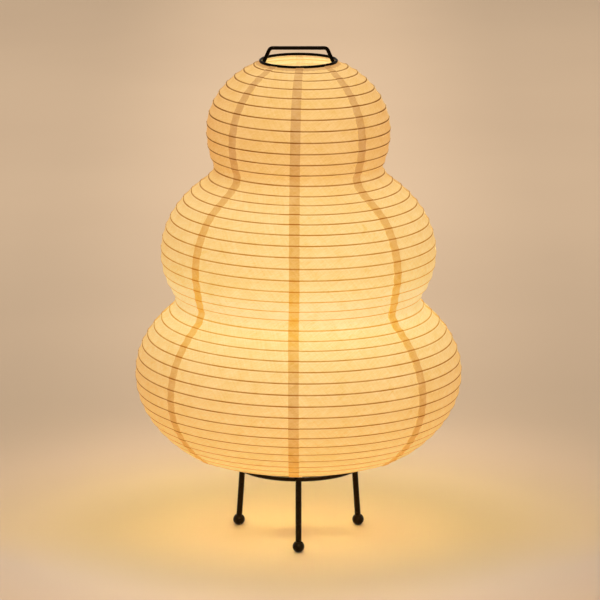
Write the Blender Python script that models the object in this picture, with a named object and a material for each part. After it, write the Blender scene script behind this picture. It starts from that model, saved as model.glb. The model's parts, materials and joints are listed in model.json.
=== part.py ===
# Table lamp with a three-lobed paper shade. One long cane rib winds down inside eight pasted paper
# gores, a bent wire holds the shade stretched, and a ring on three ball-footed legs carries it all.
# Metres, +Z up. The floor is z = 0, the lamp's axis is the Z axis and the front is towards -Y.

import math

import bmesh
import bpy
import numpy as np
from mathutils import Vector

# Fits
SEAT_GAP = 0.0003            # left between pieces that touch
LAP_GAP = 0.00045            # between the two papers of a pasted lap
RIB_GAP = 0.0004             # between the rib's back and the paper

# Ring, legs and feet
BASE_RING_HEIGHT = 0.0735    # floor to the ring's centre-line
BASE_RING_RADIUS = 0.062
BASE_WIRE = 0.004
SIDE_LEG_TURN = math.radians(115.0)  # round the ring from the front leg to a side leg
LEG_DIAMETER = 0.006
LEG_SPLAY = 0.005            # a foot's centre stands this far outside the ring
LEG_SADDLE = 0.001           # the leg's end stops this far below the ring's centre-line
FOOT_DIAMETER = 0.012
FOOT_FLAT = 0.0003           # depth of the flat under a ball
FOOT_SOCKET = 0.0045         # how deep the leg goes into the ball

# Bar across the ring, with the two sockets of the stretcher
BAR_WIDTH = 0.014
BAR_THICKNESS = 0.0025
SOCKET_INSET = 0.011         # from the ring's centre-line in to a socket's axis
SOCKET_WALL = 0.002
SOCKET_HEIGHT = 0.022
SCREW_HEIGHT = 0.014         # up the socket
SCREW_DIAMETER = 0.003
SCREW_HEAD_DIAMETER = 0.006
SCREW_HEAD_LENGTH = 0.0025

# Stretcher: one wire, with the handle at its top and a shoulder on each side under the top ring
STRETCHER_WIRE = 0.0034
STRETCHER_RISE = 0.006       # straight above the socket before the wire leans in
STRETCHER_BEND = 0.020
SHOULDER_REACH = 0.0055
SHOULDER_BEND = 0.004
HANDLE_HALF_WIDTH = 0.028
HANDLE_RISE = 0.0126         # top ring to the handle bar, both on their centre-lines
HANDLE_BEND = 0.004
HANDLE_CLEARANCE = 0.0007    # beside the wire, inside the top ring

# Shade rings and paper
TOP_RING_RADIUS = 0.0375
TOP_RING_WIRE = 0.0022
HOOP_WIRE = 0.0024
PAPER_THICKNESS = 0.0003
LOW_LOBE_STEP = 0.0915       # hoop to the lower lobe's widest level
LOW_LOBE_RADIUS = 0.1637
LOW_LOBE_ABOVE = 0.1067      # half height above the widest level
LOW_LOBE_BELOW = 0.1067      # half height below it
MIDDLE_LOBE_STEP = 0.1225    # from the lower lobe's widest level
MIDDLE_LOBE_RADIUS = 0.1373
MIDDLE_LOBE_ABOVE = 0.1015
MIDDLE_LOBE_BELOW = 0.0939
TOP_LOBE_STEP = 0.1237       # from the middle lobe's widest level
TOP_LOBE_RADIUS = 0.0913
TOP_LOBE_ABOVE = 0.0765
TOP_LOBE_BELOW = 0.0885
NECK_BLEND = 0.022           # rounds the two necks
UNDERSIDE_SLOPE = math.radians(16.0)
UNDERSIDE_BLEND = 0.008
GORE_COUNT = 8
GORE_FACETS = 3              # across one gore
LAP_WIDTH = 0.009

# Rib: a split cane with its flat back to the paper, wound left-handed from the top ring down
RIB_TURNS = 46
RIB_WIDTH = 0.0014
RIB_DEPTH = 0.0012
RIB_END = 0.003              # from the paper's edge to the rib's end

# Lampholder for an E27 bulb
NIPPLE_DIAMETER = 0.010
NIPPLE_BORE = 0.0075
NIPPLE_TAIL = 0.003          # below the nut
NUT_HEIGHT = 0.004
NUT_ACROSS = 0.014
NUT_SIDES = 6
RISER_HEIGHT = 0.014
RISER_DIAMETER = 0.014
BUSH_WALL = 0.0008
BUSH_DEPTH = 0.006
BUSH_FLANGE = 0.0012
HOLDER_DIAMETER = 0.040
HOLDER_FOOT_DIAMETER = 0.025
HOLDER_WALL = 0.002
HOLDER_CAP_HEIGHT = 0.020
HOLDER_BRIM = 0.006          # straight wall at the top of the cap
HOLDER_FLOOR = 0.003
CORE_HEIGHT = 0.007
CORE_HOLE = 0.004
SLEEVE_BORE = 0.0272
SLEEVE_WALL = 0.0007
SLEEVE_HEIGHT = 0.022
LIP_HEIGHT = 0.0025
CONTACT_DIAMETER = 0.009
CONTACT_HEIGHT = 0.0015

# Bulb
BULB_LENGTH = 0.106          # solder contact to the top of the glass
BULB_DIAMETER = 0.060
BULB_GLASS = 0.0009
BULB_CAP_DIAMETER = 0.0262
BULB_CAP_WALL = 0.0006
BULB_CAP_HEIGHT = 0.022
BULB_TIP_DIAMETER = 0.009
BULB_TIP_HEIGHT = 0.0015
INSULATOR_HEIGHT = 0.004
INSULATOR_DIAMETER = 0.019
NECK_SEAT = 0.005            # glass inside the bulb's cap
SPHERE_END = math.radians(130.0)
STEM_DIAMETER = 0.005
STEM_HUB_DIAMETER = 0.012
STEM_FLARE_HEIGHT = 0.010
STEM_HUB_HEIGHT = 0.001
FILAMENT_COUNT = 4
FILAMENT_DIAMETER = 0.0018
FILAMENT_LENGTH = 0.030
FILAMENT_CIRCLE = 0.004      # radius on which the filaments stand

# Facets
SHADE_STEPS = GORE_COUNT * GORE_FACETS
RING_STEPS = 32
WIRE_SIDES = 6
TURNED_STEPS = 16
FITTING_STEPS = 12           # round legs, sockets, nipple and riser
SMALL_STEPS = 10
BALL_STEPS = 7               # from pole to pole
BAR_END_STEPS = 6
CAP_CURVE_STEPS = 4
NECK_STEPS = 3
BEND_STEPS = 4
MERIDIAN_SAMPLES = 4000
SHARP_ANGLE = math.radians(38.0)
CREASE_ANGLE = math.radians(5.0)
MERGE = 1e-7

# Heights and places worked out from the sizes above
bar_top = BASE_RING_HEIGHT - BASE_WIRE / 2 - SEAT_GAP
bar_bottom = bar_top - BAR_THICKNESS
foot_height = FOOT_DIAMETER / 2 - FOOT_FLAT
socket_x = BASE_RING_RADIUS - SOCKET_INSET
socket_bore = STRETCHER_WIRE + 2 * SEAT_GAP
socket_bottom = bar_top + SEAT_GAP
socket_top = socket_bottom + SOCKET_HEIGHT
hoop_height = BASE_RING_HEIGHT + BASE_WIRE / 2 + SEAT_GAP + HOOP_WIRE / 2
hoop_radius = BASE_RING_RADIUS
low_level = hoop_height + LOW_LOBE_STEP
middle_level = low_level + MIDDLE_LOBE_STEP
top_level = middle_level + TOP_LOBE_STEP
paper_seat = SEAT_GAP + PAPER_THICKNESS / 2
bottom_edge_radius = hoop_radius + HOOP_WIRE / 2 + paper_seat
ring_offset = (TOP_RING_WIRE / 2 + paper_seat) * math.sqrt(0.5)
top_edge_radius = TOP_RING_RADIUS + ring_offset
top_edge_height = top_level + TOP_LOBE_ABOVE * math.sqrt(1 - (top_edge_radius / TOP_LOBE_RADIUS) ** 2)
top_ring_height = top_edge_height + ring_offset
riser_bottom = bar_top + SEAT_GAP
holder_bottom = riser_bottom + RISER_HEIGHT + SEAT_GAP
cap_top = holder_bottom + HOLDER_CAP_HEIGHT
core_bottom = cap_top + SEAT_GAP
sleeve_bottom = core_bottom + CORE_HEIGHT + SEAT_GAP
tip_bottom = sleeve_bottom + CONTACT_HEIGHT + SEAT_GAP
insulator_bottom = tip_bottom + BULB_TIP_HEIGHT + SEAT_GAP
bulb_cap_bottom = insulator_bottom + INSULATOR_HEIGHT + SEAT_GAP
glass_bottom = bulb_cap_bottom + BULB_CAP_HEIGHT - NECK_SEAT
glass_neck_radius = BULB_CAP_DIAMETER / 2 - BULB_CAP_WALL - SEAT_GAP
globe_height = tip_bottom + BULB_LENGTH - BULB_DIAMETER / 2


def clear_scene():
    for thing in list(bpy.data.objects):
        bpy.data.objects.remove(thing, do_unlink=True)


def finish(name, colour, roughness, metallic=0.0, transmission=0.0):
    material = bpy.data.materials.new(name)
    material.use_nodes = True
    shader = material.node_tree.nodes["Principled BSDF"]
    shader.inputs["Base Color"].default_value = (*colour, 1.0)
    shader.inputs["Roughness"].default_value = roughness
    shader.inputs["Metallic"].default_value = metallic
    shader.inputs["Transmission Weight"].default_value = transmission
    return material


def add_empty(name, height):
    empty = bpy.data.objects.new(name, None)
    bpy.context.collection.objects.link(empty)
    empty.location.z = height
    return empty


def add_piece(name, data, material, parent, location=(0, 0, 0), turn=(0, 0, 0)):
    piece = bpy.data.objects.new(name, data)
    bpy.context.collection.objects.link(piece)
    piece.parent = parent
    piece.location = Vector(location) - Vector((0, 0, parent.location.z))
    piece.rotation_euler = turn
    if not data.materials:
        data.materials.append(material)
    return piece


def add_cutter(name, data, location=(0, 0, 0), turn=(0, 0, 0)):
    cutter = bpy.data.objects.new(name, data)
    bpy.context.collection.objects.link(cutter)
    cutter.location = location
    cutter.rotation_euler = turn
    cutter.hide_render = True
    cutter.display_type = "WIRE"
    return cutter


def cut(piece, cutter):
    modifier = piece.modifiers.new("cut", "BOOLEAN")
    modifier.operation = "DIFFERENCE"
    modifier.object = cutter


def to_mesh(name, shape, sharp_angle=SHARP_ANGLE):
    bmesh.ops.recalc_face_normals(shape, faces=shape.faces)
    mesh = bpy.data.meshes.new(name)
    shape.to_mesh(mesh)
    shape.free()
    mesh.shade_smooth()
    mesh.set_sharp_from_angle(angle=sharp_angle)
    return mesh


def spun(profile, steps, closed):
    # A turned shape as a bmesh: the profile's (radius, height) points spun round Z.
    shape = bmesh.new()
    points = [shape.verts.new((radius, 0, height)) for radius, height in profile]
    ends = zip(points, points[1:] + points[:1]) if closed else zip(points, points[1:])
    edges = [shape.edges.new(pair) for pair in ends]
    bmesh.ops.spin(shape, geom=points + edges, cent=(0, 0, 0), axis=(0, 0, 1),
                   angle=2 * math.pi, steps=steps, use_merge=True)
    bmesh.ops.remove_doubles(shape, verts=shape.verts, dist=MERGE)
    return shape


def turned(name, profile, steps=TURNED_STEPS, closed=True):
    return to_mesh(name, spun(profile, steps, closed))


def rod(name, diameter, low, high, steps=SMALL_STEPS):
    radius = diameter / 2
    return turned(name, [(0, low), (radius, low), (radius, high), (0, high)], steps, closed=False)


def tube(name, bore, outside, low, high, steps=TURNED_STEPS):
    inner = bore / 2
    outer = outside / 2
    return turned(name, [(inner, low), (outer, low), (outer, high), (inner, high)], steps)


def wire_ring(name, radius, wire, steps=RING_STEPS):
    corners = [2 * math.pi * side / WIRE_SIDES for side in range(WIRE_SIDES)]
    section = [(radius + wire / 2 * math.cos(a), wire / 2 * math.sin(a)) for a in corners]
    return turned(name, section, steps)


def arc(centre, radius_x, radius_z, start, end, steps):
    angles = [start + (end - start) * step / steps for step in range(steps + 1)]
    return [(centre[0] + radius_x * math.sin(a), centre[1] + radius_z * math.cos(a)) for a in angles]


def bent_path(corners, bends):
    # A path of straight runs: each inner corner gives way to an arc of the radius that bends holds.
    path = [Vector(corners[0])]
    for before, corner, after, radius in zip(corners, corners[1:], corners[2:], bends):
        inward = (Vector(corner) - Vector(before)).normalized()
        outward = (Vector(after) - Vector(corner)).normalized()
        turn = inward.angle(outward)
        side = (outward - inward * math.cos(turn)) / math.sin(turn)
        start = Vector(corner) - inward * radius * math.tan(turn / 2)
        for step in range(BEND_STEPS + 1):
            angle = turn * step / BEND_STEPS
            path.append(start + inward * radius * math.sin(angle) + side * radius * (1 - math.cos(angle)))
    path.append(Vector(corners[-1]))
    return path


def lobe_radius(height, level, radius, above, below):
    share = np.abs(height - level) / np.where(height > level, above, below)
    return radius * np.sqrt(1 - np.clip(share, 0, 1) ** 2)


def soft_max(a, b, width):
    near = np.maximum(width - np.abs(a - b), 0) / width
    return np.maximum(a, b) + near ** 2 * width / 4


def shade_radius(height):
    top = lobe_radius(height, top_level, TOP_LOBE_RADIUS, TOP_LOBE_ABOVE, TOP_LOBE_BELOW)
    middle = lobe_radius(height, middle_level, MIDDLE_LOBE_RADIUS, MIDDLE_LOBE_ABOVE, MIDDLE_LOBE_BELOW)
    low = lobe_radius(height, low_level, LOW_LOBE_RADIUS, LOW_LOBE_ABOVE, LOW_LOBE_BELOW)
    lobes = soft_max(soft_max(top, middle, NECK_BLEND), low, NECK_BLEND)
    underside = bottom_edge_radius + (height - hoop_height) / math.tan(UNDERSIDE_SLOPE)
    return -soft_max(-lobes, -underside, UNDERSIDE_BLEND)


class Meridian:
    # The shade's profile, read by the distance along it from the paper's top edge.
    # Heights are from the top ring down, which is where the shade hangs.
    def __init__(self):
        heights = np.linspace(top_edge_height, hoop_height, MERIDIAN_SAMPLES)
        self.radius = shade_radius(heights)
        self.height = heights - top_ring_height
        steps = np.hypot(np.diff(self.radius), np.diff(self.height))
        self.distance = np.concatenate([[0.0], np.cumsum(steps)])
        self.length = self.distance[-1]
        self.normal_r = -np.gradient(self.height, self.distance)
        self.normal_z = np.gradient(self.radius, self.distance)
        self.pitch = (self.length - 2 * RIB_END) / RIB_TURNS

    def read(self, values, distance):
        return float(np.interp(distance, self.distance, values))

    def point(self, angle, distance):
        radius = self.read(self.radius, distance)
        return Vector((-radius * math.sin(angle), radius * math.cos(angle),
                       self.read(self.height, distance)))

    def normal(self, angle, distance):
        out = self.read(self.normal_r, distance)
        return Vector((-out * math.sin(angle), out * math.cos(angle),
                       self.read(self.normal_z, distance))).normalized()

    def along(self, angle, distance):
        normal = self.normal(angle, distance)
        return normal.cross(Vector((math.cos(angle), math.sin(angle), 0)))

    def rib_distance(self, angle):
        # The rib starts at the back, angle 0, and angles grow anticlockwise seen from above.
        return RIB_END + self.pitch * angle / (2 * math.pi)

    def gore_distances(self, angle):
        rows = [self.rib_distance(angle + 2 * math.pi * turn) for turn in range(RIB_TURNS)]
        return [0.0] + rows + [self.length]


def stand_pieces(stand, black):
    ring = wire_ring("base_ring", BASE_RING_RADIUS, BASE_WIRE)
    add_piece("base_ring", ring, black, stand, (0, 0, BASE_RING_HEIGHT))
    groove = wire_ring("saddle", BASE_RING_RADIUS, BASE_WIRE + 2 * SEAT_GAP)
    saddle = add_cutter("saddle", groove, (0, 0, BASE_RING_HEIGHT))

    rise = BASE_RING_HEIGHT - foot_height
    lean = -math.atan2(LEG_SPLAY, rise)
    ball = FOOT_DIAMETER / 2
    leg_low = ball - FOOT_SOCKET + SEAT_GAP
    leg_high = math.hypot(LEG_SPLAY, rise) - LEG_SADDLE
    leg = rod("leg", LEG_DIAMETER, leg_low, leg_high, FITTING_STEPS)
    foot = foot_mesh(lean)
    reach = BASE_RING_RADIUS + LEG_SPLAY
    for side, turn in (("front", 0.0), ("right", SIDE_LEG_TURN), ("left", -SIDE_LEG_TURN)):
        angle = turn - math.pi / 2
        place = (reach * math.cos(angle), reach * math.sin(angle), foot_height)
        cut(add_piece("leg_" + side, leg, black, stand, place, (0, lean, angle)), saddle)
        add_piece("foot_" + side, foot, black, stand, place, (0, lean, angle))


def foot_mesh(lean):
    # A ball turned about its leg's axis, with the leg's socket on top and a flat where it stands.
    ball = FOOT_DIAMETER / 2
    socket = LEG_DIAMETER / 2 + SEAT_GAP
    brim = math.asin(socket / ball)
    profile = [(0, ball - FOOT_SOCKET), (socket, ball - FOOT_SOCKET)]
    profile += arc((0, 0), ball, ball, brim, math.pi, BALL_STEPS)
    shape = spun([(max(r, 0), z) for r, z in profile], FITTING_STEPS, closed=False)
    down = Vector((math.sin(lean), 0, -math.cos(lean)))
    everything = shape.verts[:] + shape.edges[:] + shape.faces[:]
    trimmed = bmesh.ops.bisect_plane(shape, geom=everything, dist=MERGE, plane_co=down * foot_height,
                                     plane_no=down, clear_outer=True)
    rim = [item for item in trimmed["geom_cut"] if isinstance(item, bmesh.types.BMEdge)]
    bmesh.ops.edgeloop_fill(shape, edges=rim)
    return to_mesh("foot", shape)


def bar_pieces(stand, black, steel):
    shape = bmesh.new()
    round_end = BAR_WIDTH / 2
    straight = BASE_RING_RADIUS + BASE_WIRE / 2 - round_end
    outline = arc((straight, 0), round_end, round_end, 0, math.pi, BAR_END_STEPS)
    outline += arc((-straight, 0), round_end, round_end, math.pi, 2 * math.pi, BAR_END_STEPS)
    face = shape.faces.new([shape.verts.new((x, y, 0)) for x, y in outline])
    raised = bmesh.ops.extrude_face_region(shape, geom=[face])["geom"]
    bmesh.ops.translate(shape, vec=(0, 0, BAR_THICKNESS),
                        verts=[item for item in raised if isinstance(item, bmesh.types.BMVert)])
    bar = add_piece("cross_bar", to_mesh("cross_bar", shape), black, stand, (0, 0, bar_bottom))
    hole = rod("bar_hole", NIPPLE_DIAMETER + 2 * SEAT_GAP, -BAR_THICKNESS, 2 * BAR_THICKNESS, FITTING_STEPS)
    cut(bar, add_cutter("bar_hole", hole, (0, 0, bar_bottom)))

    outside = socket_bore + 2 * SOCKET_WALL
    socket = tube("socket", socket_bore, outside, 0, SOCKET_HEIGHT, FITTING_STEPS)
    tip = STRETCHER_WIRE / 2 + SEAT_GAP
    head = outside / 2 + SEAT_GAP
    screw_radius = SCREW_DIAMETER / 2
    head_radius = SCREW_HEAD_DIAMETER / 2
    head_end = head + SCREW_HEAD_LENGTH
    screw = turned("screw", [(0, tip), (screw_radius, tip), (screw_radius, head), (head_radius, head),
                             (head_radius, head_end), (0, head_end)], SMALL_STEPS, closed=False)
    drill = rod("screw_hole", SCREW_DIAMETER + 2 * SEAT_GAP, 0, outside, FITTING_STEPS)
    backwards = (-math.pi / 2, 0, 0)
    for side, x in (("left", -socket_x), ("right", socket_x)):
        middle = (x, 0, socket_bottom + SCREW_HEIGHT)
        piece = add_piece("socket_" + side, socket, black, stand, (x, 0, socket_bottom))
        cut(piece, add_cutter("screw_hole_" + side, drill, middle, backwards))
        add_piece("socket_screw_" + side, screw, steel, stand, middle, backwards)


def stretcher_piece(stand, black):
    # The top ring rests on the two 45 degree shoulders.
    rest = (TOP_RING_WIRE + STRETCHER_WIRE) / 2 + SEAT_GAP
    inside = TOP_RING_RADIUS - TOP_RING_WIRE / 2 - HANDLE_CLEARANCE - STRETCHER_WIRE / 2
    shoulder_high = top_ring_height - rest * math.sqrt(2) + TOP_RING_RADIUS - inside
    half = [(socket_x, socket_bottom), (socket_x, socket_top + STRETCHER_RISE),
            (inside + SHOULDER_REACH, shoulder_high - SHOULDER_REACH), (inside, shoulder_high),
            (HANDLE_HALF_WIDTH, top_ring_height + HANDLE_RISE)]
    bends = [STRETCHER_BEND, SHOULDER_BEND, SHOULDER_BEND, HANDLE_BEND]
    other = [(-x, z) for x, z in reversed(half)]
    path = bent_path(half + other, bends + bends[::-1])
    wire = bpy.data.curves.new("stretcher", "CURVE")
    wire.dimensions = "3D"
    wire.bevel_depth = STRETCHER_WIRE / 2
    wire.bevel_resolution = 2
    wire.use_fill_caps = True
    wire.twist_mode = "Z_UP"
    line = wire.splines.new("POLY")
    line.points.add(len(path) - 1)
    for spot, place in zip(line.points, path):
        spot.co = (place.x, 0, place.y, 1)
    add_piece("stretcher", wire, black, stand)


def holder_pieces(stand, finishes):
    nut_top = bar_bottom - SEAT_GAP
    nipple_low = nut_top - NUT_HEIGHT - NIPPLE_TAIL
    nipple_high = holder_bottom + HOLDER_FLOOR
    hole = NIPPLE_DIAMETER + 2 * SEAT_GAP
    nipple = tube("nipple", NIPPLE_BORE, NIPPLE_DIAMETER, 0, nipple_high - nipple_low, FITTING_STEPS)
    add_piece("nipple", nipple, finishes["brass"], stand, (0, 0, nipple_low))
    add_piece("nipple_nut", nut_mesh(hole), finishes["brass"], stand, (0, 0, nut_top - NUT_HEIGHT))
    riser = tube("riser", hole, RISER_DIAMETER, 0, RISER_HEIGHT, FITTING_STEPS)
    add_piece("riser", riser, finishes["black"], stand, (0, 0, riser_bottom))

    plug = NIPPLE_BORE / 2 - SEAT_GAP
    inlet = plug - BUSH_WALL
    flange = NIPPLE_DIAMETER / 2
    bush = turned("inlet_bush", [(inlet, -BUSH_FLANGE), (flange, -BUSH_FLANGE), (flange, 0), (plug, 0),
                                 (plug, BUSH_DEPTH), (inlet, BUSH_DEPTH)], FITTING_STEPS)
    add_piece("inlet_bush", bush, finishes["bakelite"], stand, (0, 0, nipple_low - SEAT_GAP))

    outer = HOLDER_DIAMETER / 2
    foot = HOLDER_FOOT_DIAMETER / 2
    rim = outer - 2 * HOLDER_WALL
    waist = HOLDER_CAP_HEIGHT - HOLDER_BRIM
    outside = arc((foot, waist), outer - foot, waist, math.pi, math.pi / 2, CAP_CURVE_STEPS)
    inside = arc((foot, waist), rim - foot, waist - HOLDER_FLOOR, math.pi / 2, math.pi, CAP_CURVE_STEPS)
    cap = [(hole / 2, 0)] + outside + [(outer, HOLDER_CAP_HEIGHT), (rim, HOLDER_CAP_HEIGHT)]
    cap += inside + [(hole / 2, HOLDER_FLOOR)]
    add_piece("holder_cap", turned("holder_cap", cap), finishes["bakelite"], stand, (0, 0, holder_bottom))

    inner = outer - HOLDER_WALL
    sleeve_outside = SLEEVE_BORE + 2 * SLEEVE_WALL
    lip = sleeve_outside / 2 + SEAT_GAP
    top = CORE_HEIGHT + SEAT_GAP + SLEEVE_HEIGHT
    shell = [(inner, 0), (outer, 0), (outer, top - LIP_HEIGHT), (outer - HOLDER_WALL, top), (lip, top),
             (lip, top - LIP_HEIGHT), (inner, top - LIP_HEIGHT - HOLDER_WALL)]
    add_piece("holder_shell", turned("holder_shell", shell), finishes["bakelite"], stand, (0, 0, core_bottom))
    core = tube("holder_core", CORE_HOLE, 2 * (inner - SEAT_GAP), 0, CORE_HEIGHT)
    add_piece("holder_core", core, finishes["porcelain"], stand, (0, 0, core_bottom))
    sleeve = tube("thread_sleeve", SLEEVE_BORE, sleeve_outside, 0, SLEEVE_HEIGHT)
    add_piece("thread_sleeve", sleeve, finishes["brass"], stand, (0, 0, sleeve_bottom))
    contact = rod("centre_contact", CONTACT_DIAMETER, 0, CONTACT_HEIGHT)
    add_piece("centre_contact", contact, finishes["brass"], stand, (0, 0, sleeve_bottom))


def nut_mesh(hole):
    # A tube of two steps a side, with every second outer point pushed out to a corner.
    flat = NUT_ACROSS / 2
    half_side = math.pi / NUT_SIDES
    shape = spun([(hole / 2, 0), (flat, 0), (flat, NUT_HEIGHT), (hole / 2, NUT_HEIGHT)],
                 2 * NUT_SIDES, closed=True)
    for vert in shape.verts:
        sector = round(math.atan2(vert.co.y, vert.co.x) / half_side)
        outside = math.hypot(vert.co.x, vert.co.y) > (flat + hole / 2) / 2
        if outside and sector % 2 == 0:
            vert.co.x /= math.cos(half_side)
            vert.co.y /= math.cos(half_side)
    return to_mesh("nipple_nut", shape)


def gore_mesh(name, meridian, number):
    # One gore: its first strip laps over the gore before it, the rest follows the rib row by row.
    span = 2 * math.pi / GORE_COUNT
    facet = span / GORE_FACETS
    seam = number * span
    lift = PAPER_THICKNESS + LAP_GAP
    seam_rows = meridian.gore_distances(seam)
    before_rows = meridian.gore_distances(seam - facet)
    lapped = []
    raised = []
    for here, before in zip(seam_rows, before_rows):
        up = meridian.normal(seam - facet / 2, here) * lift
        on_seam = meridian.point(seam, here)
        across = meridian.point(seam - facet, before) - on_seam
        lapped.append(on_seam + across.normalized() * LAP_WIDTH + up)
        raised.append(on_seam + up)
    columns = [lapped, raised]
    for step in range(1, GORE_FACETS + 1):
        angle = seam + facet * step
        columns.append([meridian.point(angle, row) for row in meridian.gore_distances(angle)])

    shape = bmesh.new()
    grid = [[shape.verts.new(point) for point in column] for column in columns]
    for left, right in zip(grid, grid[1:]):
        for row in range(len(left) - 1):
            shape.faces.new((left[row], left[row + 1], right[row + 1], right[row]))
    return to_mesh(name, shape, CREASE_ANGLE)


def rib_mesh(meridian):
    # A three-sided strip swept along the helix: two corners on its back, one inwards.
    back = PAPER_THICKNESS / 2 + RIB_GAP
    shape = bmesh.new()
    sections = []
    line = []
    for step in range(RIB_TURNS * SHADE_STEPS + 1):
        angle = 2 * math.pi * step / SHADE_STEPS
        distance = meridian.rib_distance(angle)
        inward = -meridian.normal(angle, distance)
        along = meridian.along(angle, distance) * RIB_WIDTH / 2
        middle = meridian.point(angle, distance) + inward * back
        corners = (middle + along, middle + inward * RIB_DEPTH, middle - along)
        sections.append([shape.verts.new(corner) for corner in corners])
        line.append(middle)
    for first, second in zip(sections, sections[1:]):
        for corner in range(3):
            after = (corner + 1) % 3
            shape.faces.new((first[corner], first[after], second[after], second[corner]))
    shape.faces.new(sections[0])
    shape.faces.new(sections[-1])
    print_rib_gap(np.array(line))
    return to_mesh("rib", shape)


def print_rib_gap(line):
    # The least gap between neighbouring turns, from each point to those of half a turn either way round
    # the same place on the next turn.
    least = math.inf
    for shift in range(SHADE_STEPS // 2, SHADE_STEPS * 3 // 2):
        apart = np.linalg.norm(line[shift:] - line[:-shift], axis=1)
        least = min(least, float(apart.min()))
    gap = least - math.hypot(RIB_WIDTH, RIB_DEPTH)
    print("rib: %d turns, least gap to itself %.2f mm" % (RIB_TURNS, gap * 1000))


def shade_pieces(shade, hoop, finishes):
    meridian = Meridian()
    ring = wire_ring("top_ring", TOP_RING_RADIUS, TOP_RING_WIRE, SHADE_STEPS)
    add_piece("top_ring", ring, finishes["black"], shade, (0, 0, top_ring_height))
    for number in range(GORE_COUNT):
        name = "paper_gore_%d" % (number + 1)
        mesh = gore_mesh(name, meridian, number)
        gore = add_piece(name, mesh, finishes["paper"], shade, (0, 0, top_ring_height))
        thicken = gore.modifiers.new("paper", "SOLIDIFY")
        thicken.thickness = PAPER_THICKNESS
        thicken.offset = 0
    add_piece("rib", rib_mesh(meridian), finishes["cane"], shade, (0, 0, top_ring_height))
    bottom = wire_ring("bottom_hoop", hoop_radius, HOOP_WIRE, SHADE_STEPS)
    add_piece("bottom_hoop", bottom, finishes["black"], hoop, (0, 0, hoop_height))


def bulb_pieces(tip_joint, bulb, finishes):
    tip = rod("bulb_tip", BULB_TIP_DIAMETER, 0, BULB_TIP_HEIGHT)
    add_piece("bulb_tip", tip, finishes["steel"], tip_joint, (0, 0, tip_bottom))
    cone = [(0, 0), (BULB_TIP_DIAMETER / 2, 0), (INSULATOR_DIAMETER / 2, INSULATOR_HEIGHT),
            (0, INSULATOR_HEIGHT)]
    insulator = turned("bulb_insulator", cone, FITTING_STEPS, closed=False)
    add_piece("bulb_insulator", insulator, finishes["bakelite"], bulb, (0, 0, insulator_bottom))

    outer = BULB_CAP_DIAMETER / 2
    inner = outer - BULB_CAP_WALL
    seat = INSULATOR_DIAMETER / 2
    slope = outer - seat
    eyelet = BULB_TIP_DIAMETER / 2
    cap = [(eyelet, 0), (seat, 0), (outer, slope), (outer, BULB_CAP_HEIGHT), (inner, BULB_CAP_HEIGHT),
           (inner, slope + BULB_CAP_WALL), (seat - BULB_CAP_WALL, BULB_CAP_WALL), (eyelet, BULB_CAP_WALL)]
    add_piece("bulb_cap", turned("bulb_cap", cap), finishes["steel"], bulb, (0, 0, bulb_cap_bottom))

    globe = add_piece("bulb_globe", globe_mesh(), finishes["opal"], bulb, (0, 0, globe_height))
    thicken = globe.modifiers.new("glass", "SOLIDIFY")
    thicken.thickness = BULB_GLASS
    thicken.offset = -1
    stem_and_filaments(bulb, finishes)


def globe_mesh():
    # A sphere that runs into a straight neck along a curve tangent to both, open at the bottom.
    ball = BULB_DIAMETER / 2
    sphere = arc((0, 0), ball, ball, 0, SPHERE_END, BALL_STEPS)
    leave = Vector(sphere[-1])
    down = Vector((math.cos(SPHERE_END), -math.sin(SPHERE_END)))
    knee = leave + down * (glass_neck_radius - leave.x) / down.x
    neck = Vector((glass_neck_radius, glass_bottom + NECK_SEAT - globe_height))
    end = (glass_neck_radius, glass_bottom - globe_height)
    shares = [step / NECK_STEPS for step in range(1, NECK_STEPS + 1)]
    curve = [leave.lerp(knee, t).lerp(knee.lerp(neck, t), t) for t in shares]
    profile = [(0, ball)] + sphere[1:] + [tuple(point) for point in curve] + [end]
    return turned("bulb_globe", profile, TURNED_STEPS, closed=False)


def stem_and_filaments(bulb, finishes):
    rim = glass_neck_radius - BULB_GLASS - SEAT_GAP
    thin = STEM_DIAMETER / 2
    hub = STEM_HUB_DIAMETER / 2
    upper = globe_height - glass_bottom + FILAMENT_LENGTH / 2 + SEAT_GAP
    lower = upper - FILAMENT_LENGTH - 2 * SEAT_GAP - STEM_HUB_HEIGHT
    flare = arc((rim, STEM_FLARE_HEIGHT), thin - rim, STEM_FLARE_HEIGHT - STEM_HUB_HEIGHT,
                math.pi, math.pi / 2, NECK_STEPS)
    core = min(thin, FILAMENT_CIRCLE - FILAMENT_DIAMETER / 2 - SEAT_GAP)
    profile = [(0, 0), (rim, 0)] + flare + [(thin, lower), (hub, lower), (hub, lower + STEM_HUB_HEIGHT),
                                            (core, lower + STEM_HUB_HEIGHT), (core, upper), (hub, upper),
                                            (hub, upper + STEM_HUB_HEIGHT), (0, upper + STEM_HUB_HEIGHT)]
    stem = turned("bulb_stem", profile, SMALL_STEPS, closed=False)
    add_piece("bulb_stem", stem, finishes["glass"], bulb, (0, 0, glass_bottom))
    filament = rod("filament", FILAMENT_DIAMETER, 0, FILAMENT_LENGTH, WIRE_SIDES)
    foot = glass_bottom + lower + STEM_HUB_HEIGHT + SEAT_GAP
    for number in range(FILAMENT_COUNT):
        angle = 2 * math.pi * number / FILAMENT_COUNT
        place = (FILAMENT_CIRCLE * math.cos(angle), FILAMENT_CIRCLE * math.sin(angle), foot)
        add_piece("filament_%d" % (number + 1), filament, finishes["led"], bulb, place)


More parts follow.
